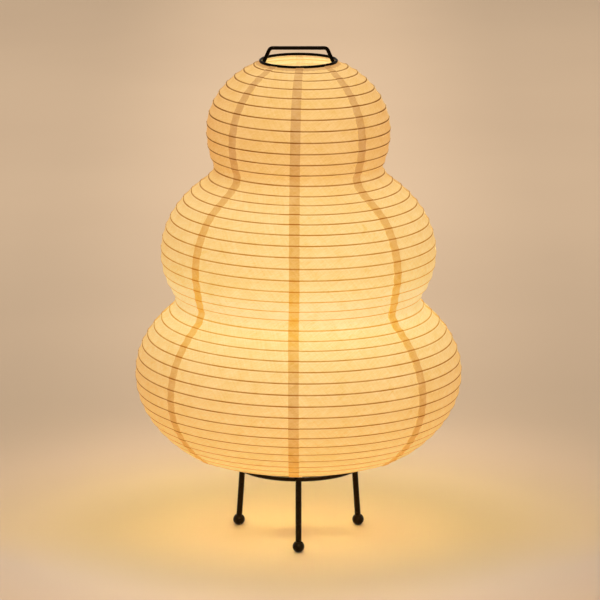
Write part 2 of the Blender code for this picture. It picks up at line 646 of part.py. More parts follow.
def main():
    clear_scene()
    finishes = {
        "black": finish("black painted steel", (0.012, 0.011, 0.010), 0.45, 0.6),
        "steel": finish("nickelled steel", (0.62, 0.60, 0.57), 0.30, 1.0),
        "brass": finish("brass", (0.72, 0.52, 0.22), 0.32, 1.0),
        "bakelite": finish("black bakelite", (0.015, 0.014, 0.013), 0.35),
        "porcelain": finish("porcelain", (0.85, 0.84, 0.80), 0.25),
        "paper": finish("washi paper", (0.93, 0.80, 0.52), 0.85),
        "cane": finish("split cane", (0.42, 0.26, 0.12), 0.7),
        "opal": finish("opal glass", (0.95, 0.93, 0.88), 0.3, transmission=0.4),
        "glass": finish("clear glass", (0.95, 0.97, 0.96), 0.05, transmission=1.0),
        "led": finish("filament phosphor", (0.95, 0.62, 0.12), 0.6),
    }
    stand = add_empty("stand", 0.0)
    shade = add_empty("shade", top_ring_height)
    hoop = add_empty("shade_hoop", hoop_height)
    bulb_tip = add_empty("bulb_thread", tip_bottom)
    bulb = add_empty("bulb", tip_bottom)
    stand_pieces(stand, finishes["black"])
    bar_pieces(stand, finishes["black"], finishes["steel"])
    stretcher_piece(stand, finishes["black"])
    holder_pieces(stand, finishes)
    shade_pieces(shade, hoop, finishes)
    bulb_pieces(bulb_tip, bulb, finishes)


main()
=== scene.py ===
import json
from math import asin, atan2, cos, exp, hypot, pi, radians, sin, sqrt, tan

import bmesh
import bpy
import numpy as np
from mathutils import Euler, Matrix, Vector, noise

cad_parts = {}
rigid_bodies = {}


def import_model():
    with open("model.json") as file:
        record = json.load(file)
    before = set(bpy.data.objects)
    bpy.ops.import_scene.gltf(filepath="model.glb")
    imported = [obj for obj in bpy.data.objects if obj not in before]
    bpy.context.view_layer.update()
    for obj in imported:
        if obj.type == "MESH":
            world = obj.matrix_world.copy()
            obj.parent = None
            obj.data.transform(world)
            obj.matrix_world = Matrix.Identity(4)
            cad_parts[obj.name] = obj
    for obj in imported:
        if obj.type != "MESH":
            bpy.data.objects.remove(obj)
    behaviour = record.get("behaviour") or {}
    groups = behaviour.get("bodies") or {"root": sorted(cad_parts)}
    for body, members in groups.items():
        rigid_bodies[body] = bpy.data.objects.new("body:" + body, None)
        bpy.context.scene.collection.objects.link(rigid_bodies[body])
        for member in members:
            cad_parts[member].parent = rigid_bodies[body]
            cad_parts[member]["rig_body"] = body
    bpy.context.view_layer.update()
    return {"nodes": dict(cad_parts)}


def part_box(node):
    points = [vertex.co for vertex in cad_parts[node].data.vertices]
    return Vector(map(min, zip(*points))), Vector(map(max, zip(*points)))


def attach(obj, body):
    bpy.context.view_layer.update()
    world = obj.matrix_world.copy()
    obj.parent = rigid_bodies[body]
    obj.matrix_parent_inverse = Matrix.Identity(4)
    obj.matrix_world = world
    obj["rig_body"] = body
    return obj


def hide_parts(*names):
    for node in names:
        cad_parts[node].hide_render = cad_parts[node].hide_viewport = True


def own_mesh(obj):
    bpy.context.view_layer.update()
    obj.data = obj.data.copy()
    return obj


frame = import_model()
scene = bpy.context.scene
mm = 0.001          # pieces are drawn in millimetres and scaled when they are placed
mergeReach = 1e-4   # doubles closer than this, in millimetres, become one
gap = 0.3           # welded, pasted and screwed pieces stay this far apart

# camera, as far back and as high as the photograph's
photoView = {"place": (0.0015, -3.8897, 1.1755), "tilt": 76.51, "lens": 240.0, "sensor": 36.0, "far": 80.0}


def setCamera():
    lens = bpy.data.cameras.new("photoView")
    lens.lens = photoView["lens"]
    lens.sensor_width = photoView["sensor"]
    lens.clip_end = photoView["far"]
    camera = bpy.data.objects.new("photoView", lens)
    scene.collection.objects.link(camera)
    camera.location = photoView["place"]
    camera.rotation_euler = (radians(photoView["tilt"]), 0, 0)
    scene.camera = camera


setCamera()
print("camera set")


# node helpers
inHand = {}     # the node tree of the finish being made
white = (1, 1, 1)


def addNode(kind, settings=None, **inputs):
    node = inHand["tree"].nodes.new(kind)
    for key, value in (settings or {}).items():
        setattr(node, key, value)
    for key, value in inputs.items():
        plug(node.inputs[key.replace("_", " ")], value)
    return node


def plug(socket, value):
    if isinstance(value, bpy.types.NodeSocket):
        inHand["tree"].links.new(value, socket)
    else:
        socket.default_value = value


def calc(operation, *values):
    node = addNode("ShaderNodeMath", {"operation": operation})
    for socket, value in zip(node.inputs, values):
        plug(socket, value)
    return node.outputs[0]


def mixTone(share, first, second, how="MIX"):
    node = addNode("ShaderNodeMix", {"data_type": "RGBA", "blend_type": how})
    plug(node.inputs[0], share)
    for socket, value in ((node.inputs[6], first), (node.inputs[7], second)):
        plug(socket, value if isinstance(value, bpy.types.NodeSocket) else (*value, 1.0))
    return node.outputs[2]


def tinted(tone, tint):
    return mixTone(1.0, tone, tint, "MULTIPLY")


def product(first, *others):
    for other in others:
        first = calc("MULTIPLY", first, other)
    return first


def centred(grain):
    return calc("SUBTRACT", grain, 0.5)


def spread(value, low, high, newLow=0.0, newHigh=1.0, how="SMOOTHSTEP"):
    node = addNode("ShaderNodeMapRange", {"interpolation_type": how})
    for socket, number in zip(node.inputs[:5], (value, low, high, newLow, newHigh)):
        plug(socket, number)
    return node.outputs[0]


def grainAt(scale, detail=2.0, stretch=(1, 1, 1), shift=(0, 0, 0), distortion=0.0, source=None):
    if source is None:
        source = addNode("ShaderNodeTexCoord").outputs["Object"]
    placed = addNode("ShaderNodeMapping", Vector=source, Scale=stretch, Location=shift)
    grain = addNode("ShaderNodeTexNoise", Vector=placed.outputs[0], Scale=scale, Detail=detail,
                    Distortion=distortion)
    return grain.outputs["Fac"]


def newFinish(name, **sockets):
    material = bpy.data.materials.new(name)
    material.use_nodes = True
    inHand["tree"] = material.node_tree
    shader = material.node_tree.nodes["Principled BSDF"]
    for key, value in sockets.items():
        plug(shader.inputs[key.replace("_", " ")], value)
    return material, shader


def addBump(shader, height, strength, distance):
    bump = addNode("ShaderNodeBump", Height=height, Strength=strength, Distance=distance)
    plug(shader.inputs["Normal"], bump.outputs[0])


# floor and light
# the floor's own tone, with a painted pool of lamplight and painted shade laid over it
floorSizes = {
    "radius": 40.0, "drop": 0.0001, "pale": (0.65, 0.475, 0.317), "cloud": (0.62, 0.45, 0.300),
    "warm": (1.02, 1.04, 0.77), "warmReach": (0.12, 0.38), "front": (0.93, 1.0, 1.36),
    "frontReach": (0.03, -0.17), "frontFade": (0.22, 0.38),
    "rings": ((0.07, 1.02), (0.16, 0.93), (0.26, 1.16), (0.34, 1.19), (0.52, 1.06), (0.95, 1.207),
              (1.7, 1.353), (3.0, 1.384)),
    "ringStretch": (0.88, 1, 1), "side": (0.08, 0.36, 0.79),
    "lean": (-0.30, 0.30, 1.02, 0.93), "leanReach": (0.15, 0.40),
}
studioLight = {
    "air": (1.0, 0.93, 0.84), "airStrength": 0.40,
    "top": {"place": (0.0, 0.3, 4.5), "aim": (0, 0.3, 0), "watts": 57.0, "size": 4.0},
    "front": {"place": (0.35, -3.8, 2.6), "aim": (0, 0, 0.25), "watts": 90.0, "size": 2.2},
    "back": {"place": (0.0, 2.4, 2.6), "aim": (0, 2.4, 0), "watts": 22.0, "size": 1.4},
    "tint": (1.0, 0.95, 0.88),
}


def floorFinish():
    material, shader = newFinish("floorFinish", Roughness=0.62)
    cloud = grainAt(1.3, 3.0)
    speck = grainAt(220.0, 2.0)
    tone = mixTone(spread(cloud, 0.3, 0.7), floorSizes["pale"], floorSizes["cloud"])
    # painted light: the floor's tone is lighter and warmer in a pool around the lamp, darker at the sides,
    # darker to the right and cooler in front, a painted pool of lamplight with painted shade
    place = addNode("ShaderNodeTexCoord").outputs["Object"]
    split = addNode("ShaderNodeSeparateXYZ", Vector=place)
    across = calc("ABSOLUTE", split.outputs["X"])
    drawn = addNode("ShaderNodeMapping", Vector=place, Scale=floorSizes["ringStretch"]).outputs[0]
    away = addNode("ShaderNodeVectorMath", {"operation": "LENGTH"}, Vector=drawn).outputs["Value"]
    # painted shade: darker towards both sides
    start, end, least = floorSizes["side"]
    share = spread(across, start, end, 1.0, least)
    # painted shade: a little darker to the right, fading out behind the lamp
    lean = spread(split.outputs["X"], *floorSizes["lean"])
    lean = spread(split.outputs["Y"], *floorSizes["leanReach"], lean, 1.0)
    share = product(share, lean)
    # painted light: rings of lighter and darker tone round the lamp stand in for its pool of light and the
    # falloff
    before = floorSizes["rings"][0]
    for ring in floorSizes["rings"][1:]:
        step = spread(away, before[0], ring[0], 1.0, ring[1] / before[1])
        share = product(share, step)
        before = ring
    grey = addNode("ShaderNodeCombineXYZ", X=share, Y=share, Z=share).outputs[0]
    # painted light: a warmer tint close to the lamp, as from its glow
    paintedWarmth = mixTone(spread(away, *floorSizes["warmReach"]), floorSizes["warm"], white)
    tone = tinted(tinted(tone, grey), paintedWarmth)
    # painted shade: cooler and bluer just in front of the lamp
    paintedFrontMask = spread(split.outputs["Y"], *reversed(floorSizes["frontReach"]))
    paintedFrontMask = calc("MAXIMUM", paintedFrontMask, spread(away, *floorSizes["frontFade"]))
    tone = tinted(tone, mixTone(paintedFrontMask, floorSizes["front"], white))
    plug(shader.inputs["Base Color"], tone)
    addBump(shader, speck, 0.05, 0.0004)
    return material


def addFloor():
    shape = bmesh.new()
    bmesh.ops.create_circle(shape, cap_ends=True, segments=96, radius=floorSizes["radius"])
    bmesh.ops.translate(shape, vec=(0, 0, -floorSizes["drop"]), verts=shape.verts)
    mesh = bpy.data.meshes.new("studioFloor")
    shape.to_mesh(mesh)
    shape.free()
    floor = bpy.data.objects.new("studioFloor", mesh)
    scene.collection.objects.link(floor)
    mesh.materials.append(floorFinish())


def addLight(name, place, aim, watts, size):
    data = bpy.data.lights.new(name, "AREA")
    data.energy = watts
    data.size = size
    data.color = studioLight["tint"]
    light = bpy.data.objects.new(name, data)
    scene.collection.objects.link(light)
    light.location = place
    light.rotation_euler = (Vector(aim) - Vector(place)).to_track_quat("-Z", "Y").to_euler()
    light.visible_camera = False


def lightStudio():
    world = bpy.data.worlds.new("studioAir")
    world.use_nodes = True
    air = world.node_tree.nodes["Background"]
    air.inputs["Color"].default_value = (*studioLight["air"], 1.0)
    air.inputs["Strength"].default_value = studioLight["airStrength"]
    scene.world = world
    for name in ("top", "front", "back"):
        addLight(name + "Softbox", **studioLight[name])
    scene.view_settings.view_transform = "Standard"


addFloor()
lightStudio()
print("floor and light set")


# finishes
def blackPaint(name, gloss):
    material, shader = newFinish(name, Specular_IOR_Level=gloss, Specular_Tint=(1.0, 0.62, 0.28, 1.0))
    cloud = grainAt(160.0, 3.0)
    peel = grainAt(1900.0, 2.0)
    fleck = grainAt(900.0, 4.0, shift=(3, 1, 2))
    worn = spread(fleck, 0.70, 0.76)
    tone = mixTone(cloud, (0.0014, 0.0009, 0.0003), (0.0036, 0.0023, 0.0008))
    plug(shader.inputs["Base Color"], mixTone(worn, tone, (0.014, 0.011, 0.008)))
    plug(shader.inputs["Roughness"], spread(cloud, 0.25, 0.75, 0.24, 0.36))
    addBump(shader, peel, 0.10, 0.00006)
    return material


def nickelPlate():
    material, shader = newFinish("nickelPlate", Metallic=1.0)
    cloud = grainAt(240.0, 3.0)
    brush = grainAt(500.0, 2.0, stretch=(1, 1, 9))
    plug(shader.inputs["Base Color"],
         mixTone(cloud, (0.56, 0.53, 0.48), (0.72, 0.69, 0.64)))
    plug(shader.inputs["Roughness"], spread(brush, 0.3, 0.7, 0.20, 0.36))
    addBump(shader, brush, 0.08, 0.00005)
    return material


def turnedBrass():
    material, shader = newFinish("turnedBrass", Metallic=1.0)
    cloud = grainAt(180.0, 4.0)
    lathe = grainAt(120.0, 2.0, stretch=(1, 1, 40))
    tarnish = spread(cloud, 0.55, 0.75)
    tone = mixTone(tarnish, (0.76, 0.55, 0.23), (0.48, 0.32, 0.13))
    plug(shader.inputs["Base Color"], tone)
    plug(shader.inputs["Roughness"], spread(cloud, 0.3, 0.75, 0.22, 0.42))
    addBump(shader, lathe, 0.10, 0.00004)
    return material


def bakelite():
    material, shader = newFinish("bakelite", Coat_Weight=0.15, Coat_Roughness=0.2)
    swirl = grainAt(90.0, 4.0, distortion=1.2)
    fine = grainAt(1500.0, 2.0)
    plug(shader.inputs["Base Color"],
         mixTone(swirl, (0.011, 0.009, 0.008), (0.026, 0.018, 0.013)))
    plug(shader.inputs["Roughness"], spread(swirl, 0.3, 0.7, 0.28, 0.44))
    addBump(shader, fine, 0.06, 0.00005)
    return material


def porcelain():
    material, shader = newFinish("porcelain", Coat_Weight=0.6, Coat_Roughness=0.08)
    cloud = grainAt(140.0, 3.0)
    speck = spread(grainAt(1300.0, 3.0), 0.70, 0.74)
    tone = mixTone(cloud, (0.80, 0.78, 0.72), (0.88, 0.86, 0.81))
    plug(shader.inputs["Base Color"], mixTone(speck, tone, (0.55, 0.50, 0.43)))
    plug(shader.inputs["Roughness"], spread(cloud, 0.3, 0.7, 0.22, 0.34))
    addBump(shader, cloud, 0.04, 0.0002)
    return material


def splitCane():
    material, shader = newFinish("splitCane", Specular_IOR_Level=0.3, Emission_Strength=1.0)
    run = addNode("ShaderNodeUVMap", {"uv_map": "caneRun"}).outputs[0]
    grain = grainAt(3.0, 4.0, stretch=(0.02, 1.6, 1), source=run)
    cloud = grainAt(0.05, 3.0, source=run)
    tone = mixTone(grain, (0.20, 0.115, 0.045), (0.43, 0.28, 0.13))
    plug(shader.inputs["Base Color"],
         mixTone(spread(cloud, 0.35, 0.7), tone, (0.26, 0.15, 0.06)))
    plug(shader.inputs["Roughness"], spread(grain, 0.3, 0.7, 0.5, 0.72))
    # painted light: the cane glows of its own, as if lit by the bulb
    plug(shader.inputs["Emission Color"], mixTone(grain, (0.50, 0.34, 0.10), (0.66, 0.50, 0.18)))
    addBump(shader, grain, 0.3, 0.0001)
    return material


opalGlow = {
    "neck": 0.140, "full": 0.172, "warm": (1.0, 0.66, 0.30), "bright": (1.0, 0.86, 0.58), "strength": 2.0,
}


def opalGlass():
    strength = opalGlow["strength"]
    material, shader = newFinish("opalGlass", Specular_IOR_Level=0.5, Emission_Strength=strength)
    place = addNode("ShaderNodeTexCoord").outputs["Object"]
    height = addNode("ShaderNodeSeparateXYZ", Vector=place).outputs["Z"]
    lit = spread(height, opalGlow["neck"], opalGlow["full"])
    haze = grainAt(70.0, 3.0)
    glow = mixTone(lit, opalGlow["warm"], opalGlow["bright"])
    shade = mixTone(spread(haze, 0.3, 0.7), (0.95, 0.94, 0.92), white)
    plug(shader.inputs["Emission Color"], tinted(glow, shade))
    plug(shader.inputs["Base Color"], mixTone(haze, (0.86, 0.82, 0.72), (0.93, 0.90, 0.82)))
    plug(shader.inputs["Roughness"], spread(haze, 0.3, 0.7, 0.16, 0.26))
    return material


def clearGlass():
    material, shader = newFinish("clearGlass", Transmission_Weight=1.0, IOR=1.5)
    ripple = grainAt(130.0, 2.0)
    plug(shader.inputs["Base Color"], mixTone(ripple, (0.90, 0.93, 0.92), (0.97, 0.98, 0.97)))
    plug(shader.inputs["Roughness"], spread(ripple, 0.3, 0.7, 0.02, 0.06))
    addBump(shader, ripple, 0.1, 0.0003)
    return material


def phosphor():
    material, shader = newFinish("phosphor", Roughness=0.7, Emission_Strength=3.0)
    bead = grainAt(1400.0, 3.0)
    tone = mixTone(bead, (0.85, 0.47, 0.08), (1.0, 0.68, 0.18))
    plug(shader.inputs["Base Color"], tone)
    plug(shader.inputs["Emission Color"], mixTone(bead, (1.0, 0.58, 0.16), (1.0, 0.74, 0.34)))
    addBump(shader, bead, 0.3, 0.0001)
    return material


finishes = {
    "black": blackPaint("blackPaint", 0.22), "wire": blackPaint("wirePaint", 0.03), "nickel": nickelPlate(),
    "brass": turnedBrass(), "bakelite": bakelite(), "porcelain": porcelain(), "cane": splitCane(),
    "opal": opalGlass(), "clear": clearGlass(), "phosphor": phosphor(),
}
print("finishes made:", len(finishes))


# shape helpers
def closeUp(shape):
    bmesh.ops.remove_doubles(shape, verts=shape.verts, dist=mergeReach)
    bmesh.ops.recalc_face_normals(shape, faces=shape.faces)
    return shape


def turned(profile, steps=64, closed=True):
    shape = bmesh.new()
    points = [shape.verts.new((radius, 0, height)) for radius, height in profile]
    pairs = list(zip(points, points[1:]))
    if closed:
        pairs.append((points[-1], points[0]))
    edges = [shape.edges.new(pair) for pair in pairs]
    bmesh.ops.spin(shape, geom=points + edges, cent=(0, 0, 0), axis=(0, 0, 1), angle=2 * pi, steps=steps,
                   use_merge=True)
    return closeUp(shape)


def tube(inner, outer, low, high):
    return turned([(inner, low), (outer, low), (outer, high), (inner, high)])


def raisePlate(shape, low, thick):
    # two rings of edges become a plate with a hole
    flat = bmesh.ops.bridge_loops(shape, edges=shape.edges[:])["faces"]
    raised = bmesh.ops.extrude_face_region(shape, geom=flat)["geom"]
    top = [item for item in raised if isinstance(item, bmesh.types.BMVert)]
    bmesh.ops.translate(shape, vec=(0, 0, thick), verts=top)
    bmesh.ops.translate(shape, vec=(0, 0, low), verts=shape.verts)
    bmesh.ops.recalc_face_normals(shape, faces=shape.faces)


def cutPlane(shape, middle, normal, **cut):
    everything = shape.verts[:] + shape.edges[:] + shape.faces[:]
    return bmesh.ops.bisect_plane(shape, geom=everything, dist=mergeReach, plane_co=middle, plane_no=normal,
                                  **cut)


def wireRing(radius, wire, height, steps=160, sides=20):
    shape = bmesh.new()
    upright = Matrix.Translation((radius, 0, height)) @ Matrix.Rotation(pi / 2, 4, "X")
    bmesh.ops.create_circle(shape, segments=sides, radius=wire / 2, matrix=upright)
    bmesh.ops.spin(shape, geom=shape.verts[:] + shape.edges[:], cent=(0, 0, 0), axis=(0, 0, 1),
                   angle=2 * pi, steps=steps, use_merge=True)
    return closeUp(shape)


def soften(shape, width, segments=3, above=30.0):
    edges = [edge for edge in shape.edges if edge.is_manifold and edge.calc_face_angle() > radians(above)]
    bmesh.ops.bevel(shape, geom=edges, offset=width, offset_type="OFFSET", segments=segments, profile=0.5,
                    affect="EDGES", clamp_overlap=True, material=-1)
    return shape


def curved(centre, reachX, reachZ, start, end, steps):
    angles = [start + (end - start) * step / steps for step in range(steps + 1)]
    return [(centre[0] + reachX * sin(angle), centre[1] + reachZ * cos(angle)) for angle in angles]


def rows(radius, low, high, step):
    count = max(2, round(abs(high - low) / step))
    return [(radius, low + (high - low) * row / count) for row in range(count + 1)]


def cutThread(shape, wall, pitch, depth, low, high):
    for vert in shape.verts:
        radius = hypot(vert.co.x, vert.co.y)
        if abs(radius - wall) < mergeReach and low < vert.co.z < high:
            fade = min(1.0, 2 * (vert.co.z - low) / pitch, 2 * (high - vert.co.z) / pitch)
            wave = cos(2 * pi * vert.co.z / pitch - atan2(vert.co.y, vert.co.x))
            share = 1 + depth / 2 * wave * fade / radius
            vert.co.x *= share
            vert.co.y *= share
    return shape


def addPiece(name, shape, node, finish, sharp=35.0):
    bmesh.ops.scale(shape, vec=(mm, mm, mm), verts=shape.verts)
    mesh = bpy.data.meshes.new(name)
    shape.to_mesh(mesh)
    shape.free()
    mesh.shade_smooth()
    mesh.set_sharp_from_angle(angle=radians(sharp))
    mesh.materials.append(finish)
    piece = bpy.data.objects.new(name, mesh)
    scene.collection.objects.link(piece)
    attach(piece, frame["nodes"][node]["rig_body"])
    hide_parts(node)
    return piece


# base ring, legs and ball feet
base = {
    "ringHeight": 73.5, "ringRadius": 62.0, "ringWire": 4.0, "legDiameter": 6.0, "splay": 5.0,
    "legs": {"Front": 0.0, "Right": 115.0, "Left": -115.0}, "legRise": 0.9, "legRound": 1.1,
    "ball": 12.0, "ballFlat": 0.3, "legSocket": 4.2, "ballLip": 0.35,
}


def addBase():
    addPiece("baseRing", wireRing(base["ringRadius"], base["ringWire"], base["ringHeight"]), "base_ring",
             finishes["black"])
    ball = base["ball"] / 2
    footHeight = ball - base["ballFlat"]
    rise = base["ringHeight"] - footHeight
    lean = -atan2(base["splay"], rise)
    reach = base["ringRadius"] + base["splay"]
    for side, turn in base["legs"].items():
        angle = radians(turn - 90)
        place = Matrix.Translation((reach * cos(angle), reach * sin(angle), footHeight))
        place = place @ Euler((0, lean, angle)).to_matrix().to_4x4()
        for name, shape in (("leg", legShape(hypot(base["splay"], rise))), ("foot", footShape(lean))):
            bmesh.ops.transform(shape, matrix=place, verts=shape.verts)
            addPiece(name + side, shape, name + "_" + side.lower(), finishes["black"])


def legShape(length):
    radius = base["legDiameter"] / 2
    low = base["ball"] / 2 - base["legSocket"]
    high = length + base["legRise"]
    shape = turned([(0, low), *rows(radius, low, high, 8.0), (0, high)], 40, closed=False)
    return soften(shape, base["legRound"], 4)


def footShape(lean):
    ball = base["ball"] / 2
    socket = base["legDiameter"] / 2 + base["ballLip"] / 2
    brim = asin(socket / ball)
    bottom = ball - base["legSocket"] - gap
    profile = [(0, bottom), (socket, bottom), *curved((0, 0), ball, ball, brim, pi, 22)]
    shape = turned([(max(radius, 0), height) for radius, height in profile], 48, closed=False)
    down = Vector((sin(lean), 0, -cos(lean)))
    trimmed = cutPlane(shape, down * (ball - base["ballFlat"]), down, clear_outer=True)
    rim = [item for item in trimmed["geom_cut"] if isinstance(item, bmesh.types.BMEdge)]
    bmesh.ops.edgeloop_fill(shape, edges=rim)
    return soften(shape, base["ballLip"], 2, 50.0)


addBase()
print("base ring, legs and feet placed")

# flat bar with the two sockets and their screws
bar = {
    "width": 14.0, "thick": 2.5, "low": 68.7, "half": 64.0, "hole": 10.6, "edge": 0.5,
    "socketX": 51.0, "socketLow": 71.5, "socketHigh": 93.5, "socketBore": 4.0, "socketOutside": 8.0,
    "socketRound": 0.45, "screwUp": 14.0, "screw": 3.0, "head": 6.0, "headLength": 2.5, "screwTip": 2.0,
    "screwRound": 0.35, "slot": 0.9, "slotDepth": 0.9,
}


def addBar():
    shape = bmesh.new()
    halfStep = Matrix.Rotation(pi / 40, 4, "Z")
    bmesh.ops.create_circle(shape, segments=40, radius=bar["width"] / 2, matrix=halfStep)
    for vert in shape.verts:
        vert.co.x += (bar["half"] - bar["width"] / 2) * (1 if vert.co.x > 0 else -1)
    bmesh.ops.create_circle(shape, segments=40, radius=bar["hole"] / 2, matrix=halfStep)
    raisePlate(shape, bar["low"], bar["thick"])
    addPiece("crossBar", soften(shape, bar["edge"], 3, 45.0), "cross_bar", finishes["black"])
    for side, x in (("Left", -bar["socketX"]), ("Right", bar["socketX"])):
        socket = tube(bar["socketBore"] / 2, bar["socketOutside"] / 2, bar["socketLow"], bar["socketHigh"])
        soften(socket, bar["socketRound"])
        bmesh.ops.translate(socket, vec=(x, 0, 0), verts=socket.verts)
        addPiece("socket" + side, socket, "socket_" + side.lower(), finishes["black"])
        screw = screwShape()
        place = Matrix.Translation((x, 0, bar["socketLow"] + bar["screwUp"]))
        place = place @ Matrix.Rotation(-pi / 2, 4, "X")
        bmesh.ops.transform(screw, matrix=place, verts=screw.verts)
        addPiece("socketScrew" + side, screw, "socket_screw_" + side.lower(), finishes["nickel"])


def screwShape():
    shank = bar["screw"] / 2
    head = bar["head"] / 2
    seat = bar["socketOutside"] / 2 + gap
    end = seat + bar["headLength"]
    shape = turned([(0, bar["screwTip"]), (shank, bar["screwTip"]), (shank, seat), (head, seat),
                    (head, end), (0, end)], 40, closed=False)
    soften(shape, bar["screwRound"])
    for side in (-1, 1):
        cutPlane(shape, (side * bar["slot"] / 2, 0, 0), (side, 0, 0))
    groove = [face for face in shape.faces
              if face.normal.z > 0.3 and face.calc_center_median().z > end - 0.5
              and abs(face.calc_center_median().x) < bar["slot"] / 2]
    sunk = bmesh.ops.extrude_face_region(shape, geom=groove)["geom"]
    for vert in [item for item in sunk if isinstance(item, bmesh.types.BMVert)]:
        vert.co.z = end - bar["slotDepth"]
    bmesh.ops.recalc_face_normals(shape, faces=shape.faces)
    return shape


addBar()
print("bar, sockets and screws placed")

# stretcher: one bent wire, its top is the handle
stretcher = {
    "wire": 3.4, "rise": 6.0, "inside": 34.0, "reach": 5.5, "handleHalf": 28.0, "handleRise": 12.6,
    "bends": (20.0, 4.0, 4.0, 4.0), "sides": 8, "smooth": 10,
}
shadeRings = {
    "topRadius": 37.5, "topWire": 2.2, "hoopRadius": 62.0, "hoopWire": 2.4, "hoopHeight": 77.0,
    "paintCoat": 0.15, "ringCoat": 0.30, "foldTravel": 350.0,
}
topRingLow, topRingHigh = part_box("top_ring")
topRingHeight = (topRingLow.z + topRingHigh.z) / 2 / mm


def addStretcher():
    inside = stretcher["inside"]
    rest = (shadeRings["topWire"] + stretcher["wire"]) / 2 + gap
    shoulder = topRingHeight - rest * sqrt(2) + shadeRings["topRadius"] - inside
    half = [(bar["socketX"], bar["socketLow"]), (bar["socketX"], bar["socketHigh"] + stretcher["rise"]),
            (inside + stretcher["reach"], shoulder - stretcher["reach"]), (inside, shoulder),
            (stretcher["handleHalf"], topRingHeight + stretcher["handleRise"])]
    corners = [Vector((x, 0, z)) for x, z in half + [(-x, z) for x, z in reversed(half)]]
    bends = stretcher["bends"] + stretcher["bends"][::-1]
    addPiece("stretcherWire", bentWire(corners, bends), "stretcher", finishes["wire"])


def bentWire(corners, bends):
    # each corner becomes two knots whose handles draw its round bend
    knots = [(corners[0], Vector(), Vector())]
    for before, corner, after, bend in zip(corners, corners[1:], corners[2:], bends):
        inward = (corner - before).normalized()
        outward = (after - corner).normalized()
        turn = inward.angle(outward)
        back = bend * tan(turn / 2)
        pull = bend * tan(turn / 4) * 4 / 3
        knots.append((corner - inward * back, -inward * pull, inward * pull))
        knots.append((corner + outward * back, -outward * pull, outward * pull))
    knots.append((corners[-1], Vector(), Vector()))
    curve = bpy.data.curves.new("bentWire", "CURVE")
    curve.dimensions = "3D"
    curve.bevel_depth = stretcher["wire"] / 2 + shadeRings["paintCoat"]
    curve.bevel_resolution = stretcher["sides"]
    curve.resolution_u = stretcher["smooth"]
    curve.use_fill_caps = True
    spline = curve.splines.new("BEZIER")
    spline.bezier_points.add(len(knots) - 1)
    for point, (place, left, right) in zip(spline.bezier_points, knots):
        point.handle_left_type = "FREE"
        point.handle_right_type = "FREE"
        point.co = place
        point.handle_left = place + left
        point.handle_right = place + right
    path = bpy.data.objects.new("bentWire", curve)
    mesh = bpy.data.meshes.new_from_object(path)
    shape = bmesh.new()
    shape.from_mesh(mesh)
    closeUp(shape)
    bpy.data.objects.remove(path)
    bpy.data.curves.remove(curve)
    bpy.data.meshes.remove(mesh)
    return shape


addStretcher()
print("stretcher bent")

# lampholder: nipple and nut under the bar, riser, cap, shell and its inner parts
holder = {
    "nipple": 10.0, "bore": 7.5, "nippleLow": 61.4, "nippleHigh": 88.8, "nipplePitch": 1.0,
    "nippleThread": 0.5,
    "nutLow": 64.4, "nutHigh": 68.4, "nutAcross": 14.0, "nutHole": 10.6,
    "riser": 14.0, "riserLow": 71.5, "riserHigh": 85.5,
    "bushFlange": 1.2, "bushDepth": 6.0, "bushWall": 0.8,
    "capLow": 85.8, "capHigh": 105.8, "foot": 12.5, "outer": 20.0, "brim": 6.0, "floor": 3.0, "wall": 2.0,
    "flutes": 30, "fluteDepth": 0.5,
    "coreLow": 106.1, "coreHigh": 113.1, "coreHole": 4.0,
    "sleeveLow": 113.4, "sleeveHigh": 135.4, "sleeveBore": 27.2, "sleeveWall": 0.7,
    "sleeveSlack": 0.15, "threadPitch": 3.62, "threadDepth": 0.5, "threadEnds": (1.0, 2.0), "lip": 2.5,
    "grooves": (5.0, 8.0, 11.0), "grooveHalf": 0.6, "grooveFlat": 0.25, "grooveDepth": 0.45,
    "contact": 9.0, "contactWall": 1.0, "contactDome": 0.5, "contactEdge": 0.6,
    "rounds": {"riser": 0.4, "bush": 0.3, "core": 0.6, "nut": 0.35},
}


